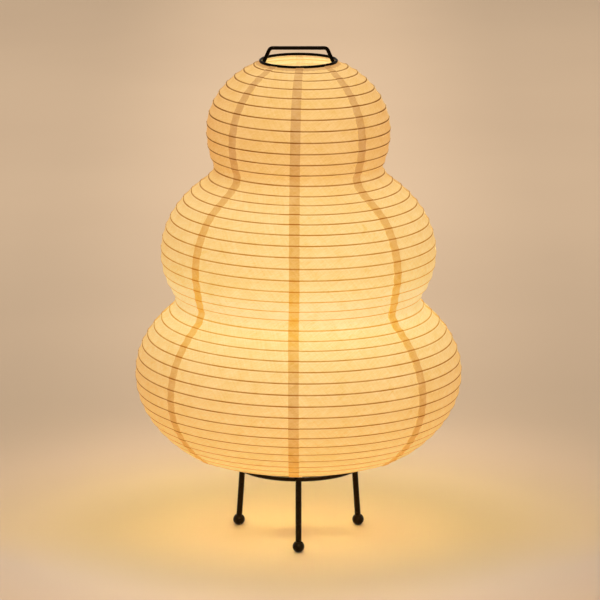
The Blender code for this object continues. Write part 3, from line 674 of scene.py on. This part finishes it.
def addHolder():
    brass, dark = finishes["brass"], finishes["bakelite"]
    radius = holder["nipple"] / 2
    low, high = holder["nippleLow"], holder["nippleHigh"]
    bore = holder["bore"] / 2
    rounds = holder["rounds"]
    nipple = turned([(bore, low), *rows(radius, low, high, 0.16), (bore, high)], 48)
    cutThread(nipple, radius, holder["nipplePitch"], holder["nippleThread"], low + gap, high - gap)
    addPiece("threadedNipple", nipple, "nipple", brass, 50.0)
    addPiece("nippleNut", nutShape(), "nipple_nut", brass)
    riser = tube(holder["nutHole"] / 2, holder["riser"] / 2, holder["riserLow"], holder["riserHigh"])
    addPiece("riserTube", soften(riser, rounds["riser"]), "riser", finishes["black"])
    plugRadius = bore - gap
    inlet = plugRadius - holder["bushWall"]
    seat = low - gap
    flange, depth = seat - holder["bushFlange"], seat + holder["bushDepth"]
    bush = turned([(inlet, flange), (radius, flange), (radius, seat), (plugRadius, seat), (plugRadius, depth),
                   (inlet, depth)])
    addPiece("inletBush", soften(bush, rounds["bush"]), "inlet_bush", dark)
    addPiece("holderCap", capShape(), "holder_cap", dark)
    addPiece("holderShell", shellShape(), "holder_shell", dark)
    core = tube(holder["coreHole"] / 2, holder["outer"] - holder["wall"] - gap, holder["coreLow"],
                holder["coreHigh"])
    addPiece("holderCore", soften(core, rounds["core"]), "holder_core", finishes["porcelain"])
    inner = holder["sleeveBore"] / 2 + holder["sleeveSlack"]
    outer = inner + holder["sleeveWall"] - holder["sleeveSlack"]
    first, last = holder["threadEnds"]
    low, high = holder["sleeveLow"], holder["sleeveHigh"]
    sleeve = turned([*rows(inner, high, low, 0.3), *rows(outer, low, high, 0.3)], 72)
    for wall in (inner, outer):
        cutThread(sleeve, wall, holder["threadPitch"], holder["threadDepth"] / 2, low + first, high - last)
    addPiece("threadSleeve", sleeve, "thread_sleeve", brass, 60.0)
    reach, top = holder["contact"] / 2, low + holder["contactWall"]
    dome = curved((0, top), reach - holder["contactEdge"], holder["contactDome"], pi / 2, 0, 6)
    contact = turned([(0, low), (reach, low), (reach, top), *dome], 40, closed=False)
    addPiece("centreContact", contact, "centre_contact", brass)


def nutShape():
    shape = bmesh.new()
    corner = holder["nutAcross"] / 2 / cos(pi / 6)
    bmesh.ops.create_circle(shape, segments=6, radius=corner)
    bmesh.ops.subdivide_edges(shape, edges=shape.edges[:], cuts=7)
    bmesh.ops.create_circle(shape, segments=48, radius=holder["nutHole"] / 2)
    raisePlate(shape, holder["nutLow"], holder["nutHigh"] - holder["nutLow"])
    return soften(shape, holder["rounds"]["nut"], 2, 40.0)


def capShape():
    foot, outer = holder["foot"], holder["outer"]
    waist = holder["capHigh"] - holder["brim"]
    rim = outer - 2 * holder["wall"]
    profile = [(holder["nutHole"] / 2, holder["capLow"])]
    profile += curved((foot, waist), outer - foot, waist - holder["capLow"], pi, pi / 2, 14)
    profile += rows(outer, waist + 0.4, holder["capHigh"] - 0.6, 0.5)
    profile += [(outer - 0.4, holder["capHigh"]), (rim, holder["capHigh"])]
    profile += curved((foot, waist), rim - foot, waist - holder["capLow"] - holder["floor"], pi / 2, pi, 10)
    profile += [(holder["nutHole"] / 2, holder["capLow"] + holder["floor"])]
    shape = turned(profile, holder["flutes"] * 8)
    for vert in shape.verts:
        radius = hypot(vert.co.x, vert.co.y)
        if abs(radius - outer) < mergeReach and waist + 0.8 < vert.co.z < holder["capHigh"] - 0.9:
            wave = 0.5 - 0.5 * cos(holder["flutes"] * atan2(vert.co.y, vert.co.x))
            share = 1 - holder["fluteDepth"] * wave / radius
            vert.co.x *= share
            vert.co.y *= share
    return shape


def shellShape():
    outer = holder["outer"]
    inner = outer - holder["wall"]
    low, top = holder["coreLow"], holder["sleeveHigh"]
    brow = top - holder["lip"]
    lip = holder["sleeveBore"] / 2 + holder["sleeveWall"] + gap
    half, flat, floor = holder["grooveHalf"], holder["grooveFlat"], outer - holder["grooveDepth"]
    profile = [(inner, low), (outer - 0.3, low), (outer, low + 0.4)]
    for groove in holder["grooves"]:
        middle = low + groove
        profile += [(outer, middle - half), (floor, middle - flat), (floor, middle + flat),
                    (outer, middle + half)]
    profile += [(outer, brow), *curved((inner, brow), holder["wall"], holder["lip"], pi / 2, 0, 6)[1:]]
    profile += [(lip, top), (lip, brow), (inner, brow - holder["wall"])]
    return turned(profile, 80)


addHolder()
print("lampholder placed")

# bulb
bulb = {
    "tipLow": 115.2, "tip": 9.0, "tipHeight": 1.5, "insulatorLow": 117.0, "insulatorHigh": 121.0,
    "insulator": 19.0, "capLow": 121.3, "capHigh": 143.3, "cap": 26.2, "capWall": 0.6,
    "glassLow": 138.3, "glass": 0.9, "seat": 5.0, "globe": 60.0, "globeHeight": 191.2, "sphereEnd": 130.0,
    "stem": 5.0, "hub": 12.0, "disc": 1.0, "flare": 10.0, "filament": 1.8, "filamentLength": 30.0,
    "circle": 4.0, "rounds": {"insulator": 0.3, "stem": 0.25, "filament": 0.3},
    "lightWatts": 2.1, "lightRadius": 0.042, "lightTint": (1.0, 0.90, 0.42),
}


def addBulb():
    low = bulb["tipLow"]
    tip = turned([(0, low), *curved((0, low + 0.5), bulb["tip"] / 2 - 0.2, 0.5, pi, pi / 2, 6)[1:],
                  (bulb["tip"] / 2, low + 0.9), (bulb["tip"] / 2, low + bulb["tipHeight"]),
                  (0, low + bulb["tipHeight"])], 40, closed=False)
    addPiece("bulbTip", tip, "bulb_tip", finishes["nickel"])
    cone = turned([(0, bulb["insulatorLow"]), (bulb["tip"] / 2, bulb["insulatorLow"]),
                   (bulb["insulator"] / 2, bulb["insulatorHigh"]), (0, bulb["insulatorHigh"])], 48,
                  closed=False)
    soften(cone, bulb["rounds"]["insulator"])
    addPiece("bulbInsulator", cone, "bulb_insulator", finishes["bakelite"])
    addPiece("bulbCap", bulbCapShape(), "bulb_cap", finishes["nickel"], 60.0)
    globe = addPiece("bulbGlobe", globeShape(), "bulb_globe", finishes["opal"])
    wall = globe.modifiers.new("glassWall", "SOLIDIFY")
    wall.thickness = bulb["glass"] * mm
    wall.offset = -1
    globe.visible_shadow = False        # opal glass lets the light out
    addStem()
    data = bpy.data.lights.new("bulbLight", "POINT")
    data.energy = bulb["lightWatts"]
    data.shadow_soft_size = bulb["lightRadius"]
    data.color = bulb["lightTint"]
    data.cycles.use_multiple_importance_sampling = False    # the paper would stop the other kind of ray
    light = bpy.data.objects.new("bulbLight", data)
    scene.collection.objects.link(light)
    light.location = (0, 0, bulb["globeHeight"] * mm)
    light.visible_camera = False
    light.visible_glossy = False
    light.visible_transmission = False


def bulbCapShape():
    outer = bulb["cap"] / 2
    inner = outer - bulb["capWall"]
    seat = bulb["insulator"] / 2
    low, high = bulb["capLow"], bulb["capHigh"]
    slope = outer - seat
    wall, tip = bulb["capWall"], bulb["tip"] / 2
    profile = [(tip, low), (seat, low), *rows(outer, low + slope, high, 0.3),
               *rows(inner, high, low + slope + wall, 0.3), (seat - wall, low + wall), (tip, low + wall)]
    shape = turned(profile, 72)
    for wall in (outer, inner):
        cutThread(shape, wall, holder["threadPitch"], holder["threadDepth"], low + slope + 0.5, high - 4.5)
    return shape


def globeShape():
    ball = bulb["globe"] / 2
    middle = bulb["globeHeight"]
    end = radians(bulb["sphereEnd"])
    neckRadius = bulb["cap"] / 2 - bulb["capWall"] - gap
    sphere = curved((0, middle), ball, ball, 0, end, 40)
    leave = Vector(sphere[-1])
    down = Vector((cos(end), -sin(end)))
    knee = leave + down * (neckRadius - leave.x) / down.x
    neck = Vector((neckRadius, bulb["glassLow"] + bulb["seat"]))
    shares = [step / 12 for step in range(1, 13)]
    curve = [tuple(leave.lerp(knee, t).lerp(knee.lerp(neck, t), t)) for t in shares]
    profile = [(0, middle + ball), *sphere[1:], *curve, (neckRadius, bulb["glassLow"])]
    return turned(profile, 96, closed=False)


def addStem():
    rim = bulb["cap"] / 2 - bulb["capWall"] - bulb["glass"] - 2 * gap
    thin, hub, disc = bulb["stem"] / 2, bulb["hub"] / 2, bulb["disc"]
    neck = bulb["glassLow"]
    upper = bulb["globeHeight"] + bulb["filamentLength"] / 2 + gap
    lower = bulb["globeHeight"] - bulb["filamentLength"] / 2 - gap - disc
    flare = curved((rim, neck + bulb["flare"]), thin - rim, bulb["flare"] - disc, pi, pi / 2, 10)
    profile = [(0, neck), (rim, neck), *flare, (thin, lower), (hub, lower), (hub, lower + disc),
               (thin, lower + disc), (thin, upper), (hub, upper), (hub, upper + disc), (0, upper + disc)]
    stem = soften(turned(profile, 40, closed=False), bulb["rounds"]["stem"])
    addPiece("bulbStem", stem, "bulb_stem", finishes["clear"])
    foot = lower + disc + gap
    head = foot + bulb["filamentLength"]
    radius = bulb["filament"] / 2
    for number in range(4):
        angle = number * pi / 2
        wire = turned([(0, foot), (radius, foot), (radius, head), (0, head)], 20, closed=False)
        soften(wire, bulb["rounds"]["filament"])
        aside = (bulb["circle"] * cos(angle), bulb["circle"] * sin(angle), 0)
        bmesh.ops.translate(wire, vec=aside, verts=wire.verts)
        addPiece("filament%d" % (number + 1), wire, "filament_%d" % (number + 1), finishes["phosphor"])


addBulb()
print("bulb placed")

# the shade's line: three round lobes, softened necks and a flat cone underneath
lobes = {
    "low": (168.5, 163.7, 106.7, 106.7), "middle": (291.0, 137.3, 101.5, 93.9),
    "top": (414.7, 91.3, 76.5, 88.5), "neck": 22.0, "underSlope": 16.0, "underBlend": 8.0,
    "topEdge": 1.096, "hoopEdge": 1.65, "samples": 4000,
}


def softMax(first, second, width):
    near = np.maximum(width - np.abs(first - second), 0) / width
    return np.maximum(first, second) + near ** 2 * width / 4


def lobeRadius(height, level, radius, above, below):
    share = np.abs(height - level) / np.where(height > level, above, below)
    return radius * np.sqrt(1 - np.clip(share, 0, 1) ** 2)


def shadeLine():
    heights = np.linspace(topRingHeight - lobes["topEdge"], shadeRings["hoopHeight"], lobes["samples"])
    low, middle, top = (lobeRadius(heights, *lobes[name]) for name in ("low", "middle", "top"))
    full = softMax(softMax(top, middle, lobes["neck"]), low, lobes["neck"])
    edge = shadeRings["hoopRadius"] + lobes["hoopEdge"]
    under = edge + (heights - shadeRings["hoopHeight"]) / tan(radians(lobes["underSlope"]))
    radius = -softMax(-full, -under, lobes["underBlend"])
    down = np.concatenate([[0.0], np.cumsum(np.hypot(np.diff(radius), np.diff(heights)))])
    return {"down": down, "radius": radius, "height": heights, "outR": -np.gradient(heights, down),
            "outZ": np.gradient(radius, down)}


line = shadeLine()
lineLength = float(line["down"][-1])


def readLine(down, what):
    return float(np.interp(down, line["down"], line[what]))


def outwardAt(angle, down):
    out = readLine(down, "outR")
    return Vector((-out * sin(angle), out * cos(angle), readLine(down, "outZ"))).normalized()


def shadePoint(angle, down):
    radius = readLine(down, "radius")
    return Vector((-radius * sin(angle), radius * cos(angle), readLine(down, "height")))


# cane rib: one strip wound from the top ring down, its flat back to the paper
rib = {
    "turns": 46, "end": 3.0, "width": 1.4, "depth": 1.2, "behind": 0.55, "belly": 0.8, "back": 0.15,
    "stepsPerTurn": 72, "sides": 8, "runRadius": 100.0,
}
ribPitch = (lineLength - 2 * rib["end"]) / rib["turns"]


def foldWithShade(piece):
    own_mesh(piece)


def addRib():
    steps = rib["turns"] * rib["stepsPerTurn"]
    shape = bmesh.new()
    bmesh.ops.create_grid(shape, x_segments=steps, y_segments=rib["sides"], size=1.0)
    run = shape.loops.layers.uv.new("caneRun")
    travel = {}
    for vert in shape.verts:
        step = round((vert.co.x + 1) / 2 * steps)
        side = round((vert.co.y + 1) / 2 * rib["sides"])
        angle = 2 * pi * step / rib["stepsPerTurn"]
        down = rib["end"] + ribPitch * angle / (2 * pi)
        inward = -outwardAt(angle, down)
        along = inward.cross(Vector((cos(angle), sin(angle), 0)))
        swing = 2 * pi * side / rib["sides"]
        flat = max(cos(swing), -rib["back"])    # the back is flat, the front is round
        middle = shadePoint(angle, down) + inward * (rib["behind"] + rib["depth"] * (1 - rib["belly"]))
        vert.co = middle + along * sin(swing) * rib["width"] / 2 + inward * flat * rib["depth"] * rib["belly"]
        travel[vert] = (angle * rib["runRadius"], side)
    for face in shape.faces:
        for loop in face.loops:
            loop[run].uv = travel[loop.vert]
    bmesh.ops.remove_doubles(shape, verts=shape.verts, dist=mergeReach)
    bmesh.ops.holes_fill(shape, edges=[edge for edge in shape.edges if edge.is_boundary], sides=0)
    bmesh.ops.recalc_face_normals(shape, faces=shape.faces)
    foldWithShade(addPiece("caneRib", shape, "rib", finishes["cane"], 60.0))


addRib()
topWire = shadeRings["topWire"] + 2 * shadeRings["ringCoat"]
addPiece("topRing", wireRing(shadeRings["topRadius"], topWire, topRingHeight), "top_ring", finishes["wire"])
addPiece("bottomHoop", wireRing(shadeRings["hoopRadius"], shadeRings["hoopWire"], shadeRings["hoopHeight"]),
         "bottom_hoop", finishes["black"])
print("rib wound, %d turns, pitch %.2f mm" % (rib["turns"], ribPitch))

# eight pasted paper gores
gore = {
    "count": 8, "thick": 0.3, "lift": 0.55, "lap": 10.2, "lapTop": 2.8, "lapBottom": 0.6, "step": 1.2,
    "lapFade": (40.0, 20.0), "lapColumns": 3, "columns": 18, "rowsPerTurn": 4, "slack": 0.95, "fullest": 1.3,
    "crease": 0.25, "ripples": (0.045, 0.11), "smallRipple": 0.6, "apart": 300.0,
    "seamShift": -0.6, "topSwing": (3.8, 60.0), "hoopSwing": (2.7, 25.0),
    "necks": ((365.0, 338.0), (275.0, 238.0)),
    "wander": {2: (-4.0, -4.0, -4.0), 3: (4.4, 0.6, -8.4), 4: (1.5, 1.5, 0.9), 5: (1.7, 5.5, 14.5),
               6: (14.0, 14.0, 14.0)},
}
# the paper's painted glow, its painted shade and highlights, and its own colour
washiGlow = {
    "dim": (0.55, 0.195, 0.044), "bright": (0.73, 0.48, 0.192), "base": (0.42, 0.42, 0.186),
    "inside": (0.50, 0.51, 0.235), "insideBase": (0.40, 0.22, 0.13), "insideLap": 0.25,
    "lapGlow": (0.73, 0.58, 0.55), "lapHotGlow": (0.94, 0.57, 0.12), "lapBase": (0.80, 0.73, 0.68),
    "lapHotBase": (0.95, 0.75, 0.08), "lapPatch": (0.80, 1.0),
    "ribGlow": (0.0, 0.0, 0.0), "ribHotGlow": (1.10, 1.05, 0.38), "ribBase": (0.78, 0.28, 0.05),
    "ribHalf": 0.65, "ribSoft": 0.18, "ribPatch": (0.8, 1.0), "rimStart": (0.7, 1.1), "rimEnd": (1.3, 2.4),
    "mottle": (0.18, 0.12, 0.23, -0.08, 0.07), "mottleTint": (0.5, 0.9, 2.5),
    "foldGlow": (0.74, 0.60, 0.60), "foldBase": (0.82, 0.76, 0.74), "foldDown": 3.8, "foldSoft": 0.3,
    "foldRagged": 3.0,
    "footTint": (1.08, 1.0, 0.80), "footReach": (0.085, 0.20),
    "hotTint": (1.0, 1.07, 1.38), "hotFrom": (0.60, 0.85),
    "least": -0.05, "hot": 0.68, "hotHeight": 254.8, "hotAbove": 40.3, "hotBelow": 46.9,
    "foot": 0.82, "footRise": 75.0, "upper": 0.353, "upperHeight": 330.0, "upperSpread": 60.0,
}


def fibreStreaks(sheetRun):
    # short fibres lie in two slanting directions, in millimetres on the sheet
    streaks = []
    for slant, scale, shift in ((38.0, 0.75, 0.0), (-52.0, 0.60, 40.0), (12.0, 0.95, 90.0)):
        turnedRun = addNode("ShaderNodeMapping", Vector=sheetRun, Scale=(1, ribPitch, 1),
                            Rotation=(0, 0, radians(slant)), Location=(shift, 0, 0)).outputs[0]
        streaks.append(grainAt(scale, 2.0, stretch=(0.09, 1, 1), source=turnedRun, distortion=0.3))
    together = calc("ADD", calc("ADD", streaks[0], streaks[1]), streaks[2])
    return calc("SUBTRACT", together, 1.5)


def longFibres(sheetRun):
    # a few long fibres: thin level lines of slow noise, broken up by a second one
    flat = addNode("ShaderNodeMapping", Vector=sheetRun, Scale=(1, ribPitch, 1)).outputs[0]
    strands = []
    for scale, shift in ((0.045, (0, 0, 0)), (0.07, (40, 70, 0))):
        field = grainAt(scale, 1.0, shift=shift, distortion=1.2, source=flat)
        thin = spread(calc("ABSOLUTE", centred(field)), 0.002, 0.009, 1, 0)
        here = spread(grainAt(scale * 1.7, 1.0, shift=(shift[1], 30, 8), source=flat), 0.5, 0.62)
        strands.append(product(thin, here))
    return calc("MAXIMUM", strands[0], strands[1])


def washi():
    # painted light: the paper glows by its own emission, standing in for the bulb's light passing through it
    material, shader = newFinish("washi", Specular_IOR_Level=0.15, Emission_Strength=1.0)
    sheetRun = addNode("ShaderNodeUVMap", {"uv_map": "sheetRun"}).outputs[0]
    ribRun = addNode("ShaderNodeSeparateXYZ", Vector=sheetRun).outputs["Y"]
    glow, lapped, edgeDown, inner, height = (
        addNode("ShaderNodeAttribute", {"attribute_name": name}).outputs["Fac"]
        for name in ("glow", "lapInset", "edgeDown", "inner", "restHeight"))
    outer = calc("SUBTRACT", 1.0, inner)
    # painted shadow: the rib behind the paper shows as a darker line in its glow and colour where its run is
    # a whole number
    apart = calc("MULTIPLY", calc("PINGPONG", ribRun, 0.5), ribPitch)
    half, soft = washiGlow["ribHalf"], washiGlow["ribSoft"]
    started = calc("GREATER_THAN", ribRun, -0.5)
    ended = calc("LESS_THAN", ribRun, rib["turns"] - 0.5)
    wound = product(started, ended, outer)
    patchy = spread(grainAt(45.0, 2.0, shift=(2, 5, 3)), 0.3, 0.7, *washiGlow["ribPatch"])
    ribShadowLine = product(spread(apart, half - soft, half + soft, 1.0, 0.0), wound, patchy)
    # painted highlight: a pale rim where the paper leaves the rib, added in with the mottle
    below = calc("MULTIPLY", calc("FRACT", ribRun), ribPitch)
    rim = product(spread(below, *washiGlow["rimStart"]), spread(below, *washiGlow["rimEnd"], 1.0, 0.0), wound)
    # doubled paper at the laps, its edge frayed and its paste uneven; painted shade, the laps glow darker and
    # their colour is tinted darker, for the light that the doubled paper holds back
    double = spread(calc("ADD", lapped, centred(grainAt(90.0, 3.0))), -0.2, 0.2)
    paste = spread(grainAt(120.0, 2.0, shift=(4, 1, 6)), 0.35, 0.65, *washiGlow["lapPatch"])
    double = product(double, spread(inner, 0.0, 1.0, 1.0, washiGlow["insideLap"]), paste)
    # the top edge is turned over its ring; painted shade, the doubled band glows darker and is tinted darker
    ragged = calc("MULTIPLY", centred(grainAt(260.0, 3.0)), washiGlow["foldRagged"])
    fold, soft = washiGlow["foldDown"], washiGlow["foldSoft"]
    turnedOver = spread(calc("ADD", edgeDown, ragged), fold - soft, fold + soft, 1.0, 0.0)
    streak = fibreStreaks(sheetRun)
    fibre = longFibres(sheetRun)
    cloud = grainAt(75.0, 4.0)
    wide = grainAt(16.0, 2.0, shift=(7, 3, 1))
    # thicker places pass less light, blue least of all
    mottle = 0.0
    for grain, amount in zip((centred(cloud), centred(wide), streak, fibre, rim), washiGlow["mottle"]):
        mottle = calc("MULTIPLY_ADD", grain, amount, mottle)
    shares = [calc("MULTIPLY_ADD", mottle, weight, 1.0) for weight in washiGlow["mottleTint"]]
    grey = addNode("ShaderNodeCombineXYZ", X=shares[0], Y=shares[1], Z=shares[2]).outputs[0]
    # painted light: the glow runs from dim to bright with the painted glow attribute, and the inner side
    # glows flat
    tone = mixTone(inner, mixTone(glow, washiGlow["dim"], washiGlow["bright"]), washiGlow["inside"])
    tone = tinted(tone, grey)
    paper = tinted(mixTone(inner, washiGlow["base"], washiGlow["insideBase"]), grey)
    # painted highlight: the hottest glow, by the bulb, is tinted paler and bluer
    paintedHotSpot = product(spread(glow, *washiGlow["hotFrom"]), outer)
    tone = tinted(tone, mixTone(paintedHotSpot, white, washiGlow["hotTint"]))
    # painted light: the paper near the bottom glows redder
    low = spread(height, *washiGlow["footReach"])
    tone = tinted(tone, mixTone(low, washiGlow["footTint"], white))
    ribGlow, lapGlow, lapBase = (mixTone(glow, washiGlow[part + end], washiGlow[part + "Hot" + end])
                                 for part, end in (("rib", "Glow"), ("lap", "Glow"), ("lap", "Base")))
    # painted shade: the laps, the rib's shadow line and the turned-over band darken the glow and the paper's
    # colour
    for mask, passed, thrown in ((double, lapGlow, lapBase), (ribShadowLine, ribGlow, washiGlow["ribBase"]),
                                 (turnedOver, washiGlow["foldGlow"], washiGlow["foldBase"])):
        tone = tinted(tone, mixTone(mask, white, passed))
        paper = tinted(paper, mixTone(mask, white, thrown))
    plug(shader.inputs["Emission Color"], tone)
    plug(shader.inputs["Base Color"], paper)
    plug(shader.inputs["Roughness"], spread(cloud, 0.3, 0.7, 0.78, 0.92))
    addBump(shader, calc("ADD", calc("ADD", streak, cloud), fibre), 0.3, 0.00012)
    return material


def paintedGlowAt(height):
    # painted light: how bright the paper's painted glow is at this height, a hot band by the bulb, a brighter
    # foot and an upper band
    reach = washiGlow["hotAbove"] if height > washiGlow["hotHeight"] else washiGlow["hotBelow"]
    hot = washiGlow["hot"] * exp(-((height - washiGlow["hotHeight"]) / reach) ** 2)
    foot = washiGlow["foot"] * exp((shadeRings["hoopHeight"] - height) / washiGlow["footRise"])
    upper = washiGlow["upper"] * exp(-((height - washiGlow["upperHeight"]) / washiGlow["upperSpread"]) ** 2)
    return washiGlow["least"] + hot + foot + upper


def rowDown(row, angle):
    # rows keep to the rib: the first and the last band run out to the paper's edges
    turn, part = divmod(row, gore["rowsPerTurn"])
    before, after = (rib["end"] + ribPitch * (angle / (2 * pi) + whole) for whole in (turn - 1, turn))
    start = 0.0 if turn == 0 else before
    end = lineLength if turn >= rib["turns"] else after
    return start + (end - start) * part / gore["rowsPerTurn"], part / gore["rowsPerTurn"], end - start


def seamDrift(number, down):
    # hand-pasted seams wander off their meridians, each lobe its own way
    lobeDrift = gore["wander"].get(number, (0.0, 0.0, 0.0))
    drift = lobeDrift[0]
    for (top, bottom), above, below in zip(gore["necks"], lobeDrift, lobeDrift[1:]):
        share = min(1.0, max(0.0, (top - readLine(down, "height")) / (top - bottom)))
        drift += (below - above) * share * share * (3 - 2 * share)
    (top, topReach), (hoop, hoopReach) = gore["topSwing"], gore["hoopSwing"]
    ends = top * exp(-down / topReach) + hoop * exp((down - lineLength) / hoopReach)
    return drift + gore["seamShift"] + ends


def goreShape(number):
    span = 2 * pi / gore["count"]
    seam = number * span
    rowCount = (rib["turns"] + 1) * gore["rowsPerTurn"]
    lapColumns = gore["lapColumns"]
    columnCount = gore["columns"] + lapColumns
    topFade, hoopFade = gore["lapFade"]
    wideRipple, smallRipple = gore["ripples"]
    shape = bmesh.new()
    bmesh.ops.create_grid(shape, x_segments=columnCount, y_segments=rowCount, size=1.0)
    sheetRun = shape.loops.layers.uv.new("sheetRun")
    glow, lapInset, edgeDown, restHeight = (shape.verts.layers.float.new(name)
                                            for name in ("glow", "lapInset", "edgeDown", "restHeight"))
    places = {}
    for vert in shape.verts:
        column = round((vert.co.x + 1) / 2 * columnCount)
        row = round((vert.co.y + 1) / 2 * rowCount)
        first = lineLength if row == rowCount else rowDown(row, seam)[0]
        radius = readLine(first, "radius")
        drift = seamDrift(number, first)
        lap = gore["lap"] - gore["lapTop"] * exp(-first / topFade)
        lap -= gore["lapBottom"] * exp((first - lineLength) / hoopFade)
        width = radius * span + seamDrift(number + 1, first) - drift
        if column < lapColumns:
            across = -lap * (1 - column / (lapColumns - 1))
        else:
            across = gore["step"] + (width - gore["step"]) * (column - lapColumns) / gore["columns"]
        angle = seam + (drift + across) / radius
        if row == rowCount:
            down, part, band = lineLength, 0.0, ribPitch
        else:
            down, part, band = rowDown(row, angle)
        outward = outwardAt(angle, down)
        spot = shadePoint(angle, down)
        hollow = 4 * part * (1 - part) * min(gore["fullest"], band / ribPitch) ** 2
        ripple = noise.noise(spot * wideRipple) + gore["smallRipple"] * noise.noise(spot * smallRipple)
        slack = hollow * (gore["slack"] + gore["crease"] * ripple)
        lift = gore["lift"] if column < lapColumns else 0.0
        # painted light: each point takes its painted glow from its height
        vert[glow] = paintedGlowAt(spot.z)
        vert[lapInset] = max(-across, across - (width - lap))
        vert[edgeDown] = down
        vert[restHeight] = spot.z * mm
        places[vert] = (across + number * gore["apart"], (down - rib["end"]) / ribPitch - angle / (2 * pi))
        vert.co = spot + outward * (lift - slack)
    for face in shape.faces:
        for loop in face.loops:
            loop[sheetRun].uv = places[loop.vert]
    shape.normal_update()
    shape.faces.ensure_lookup_table()
    if shape.faces[0].normal.dot(outwardAt(seam, 0)) < 0:
        bmesh.ops.reverse_faces(shape, faces=shape.faces)
    return shape


def thicken(shape):
    # the points that this adds are the paper's inner side
    inner = shape.verts.layers.float.new("inner")
    outside = len(shape.verts)
    bmesh.ops.solidify(shape, geom=shape.faces[:], thickness=gore["thick"])
    shape.verts.ensure_lookup_table()
    for vert in shape.verts[outside:]:
        vert[inner] = 1.0
    return shape


def addGores():
    paper = washi()
    for number in range(gore["count"]):
        drifts = np.array([seamDrift(number + 1, down) - seamDrift(number, down) for down in line["down"]])
        sheet = thicken(goreShape(number))
        piece = addPiece("paperGore%d" % (number + 1), sheet, "paper_gore_%d" % (number + 1), paper, 60.0)
        piece.visible_shadow = False    # paper lets the light through to the floor
        foldWithShade(piece)


addGores()
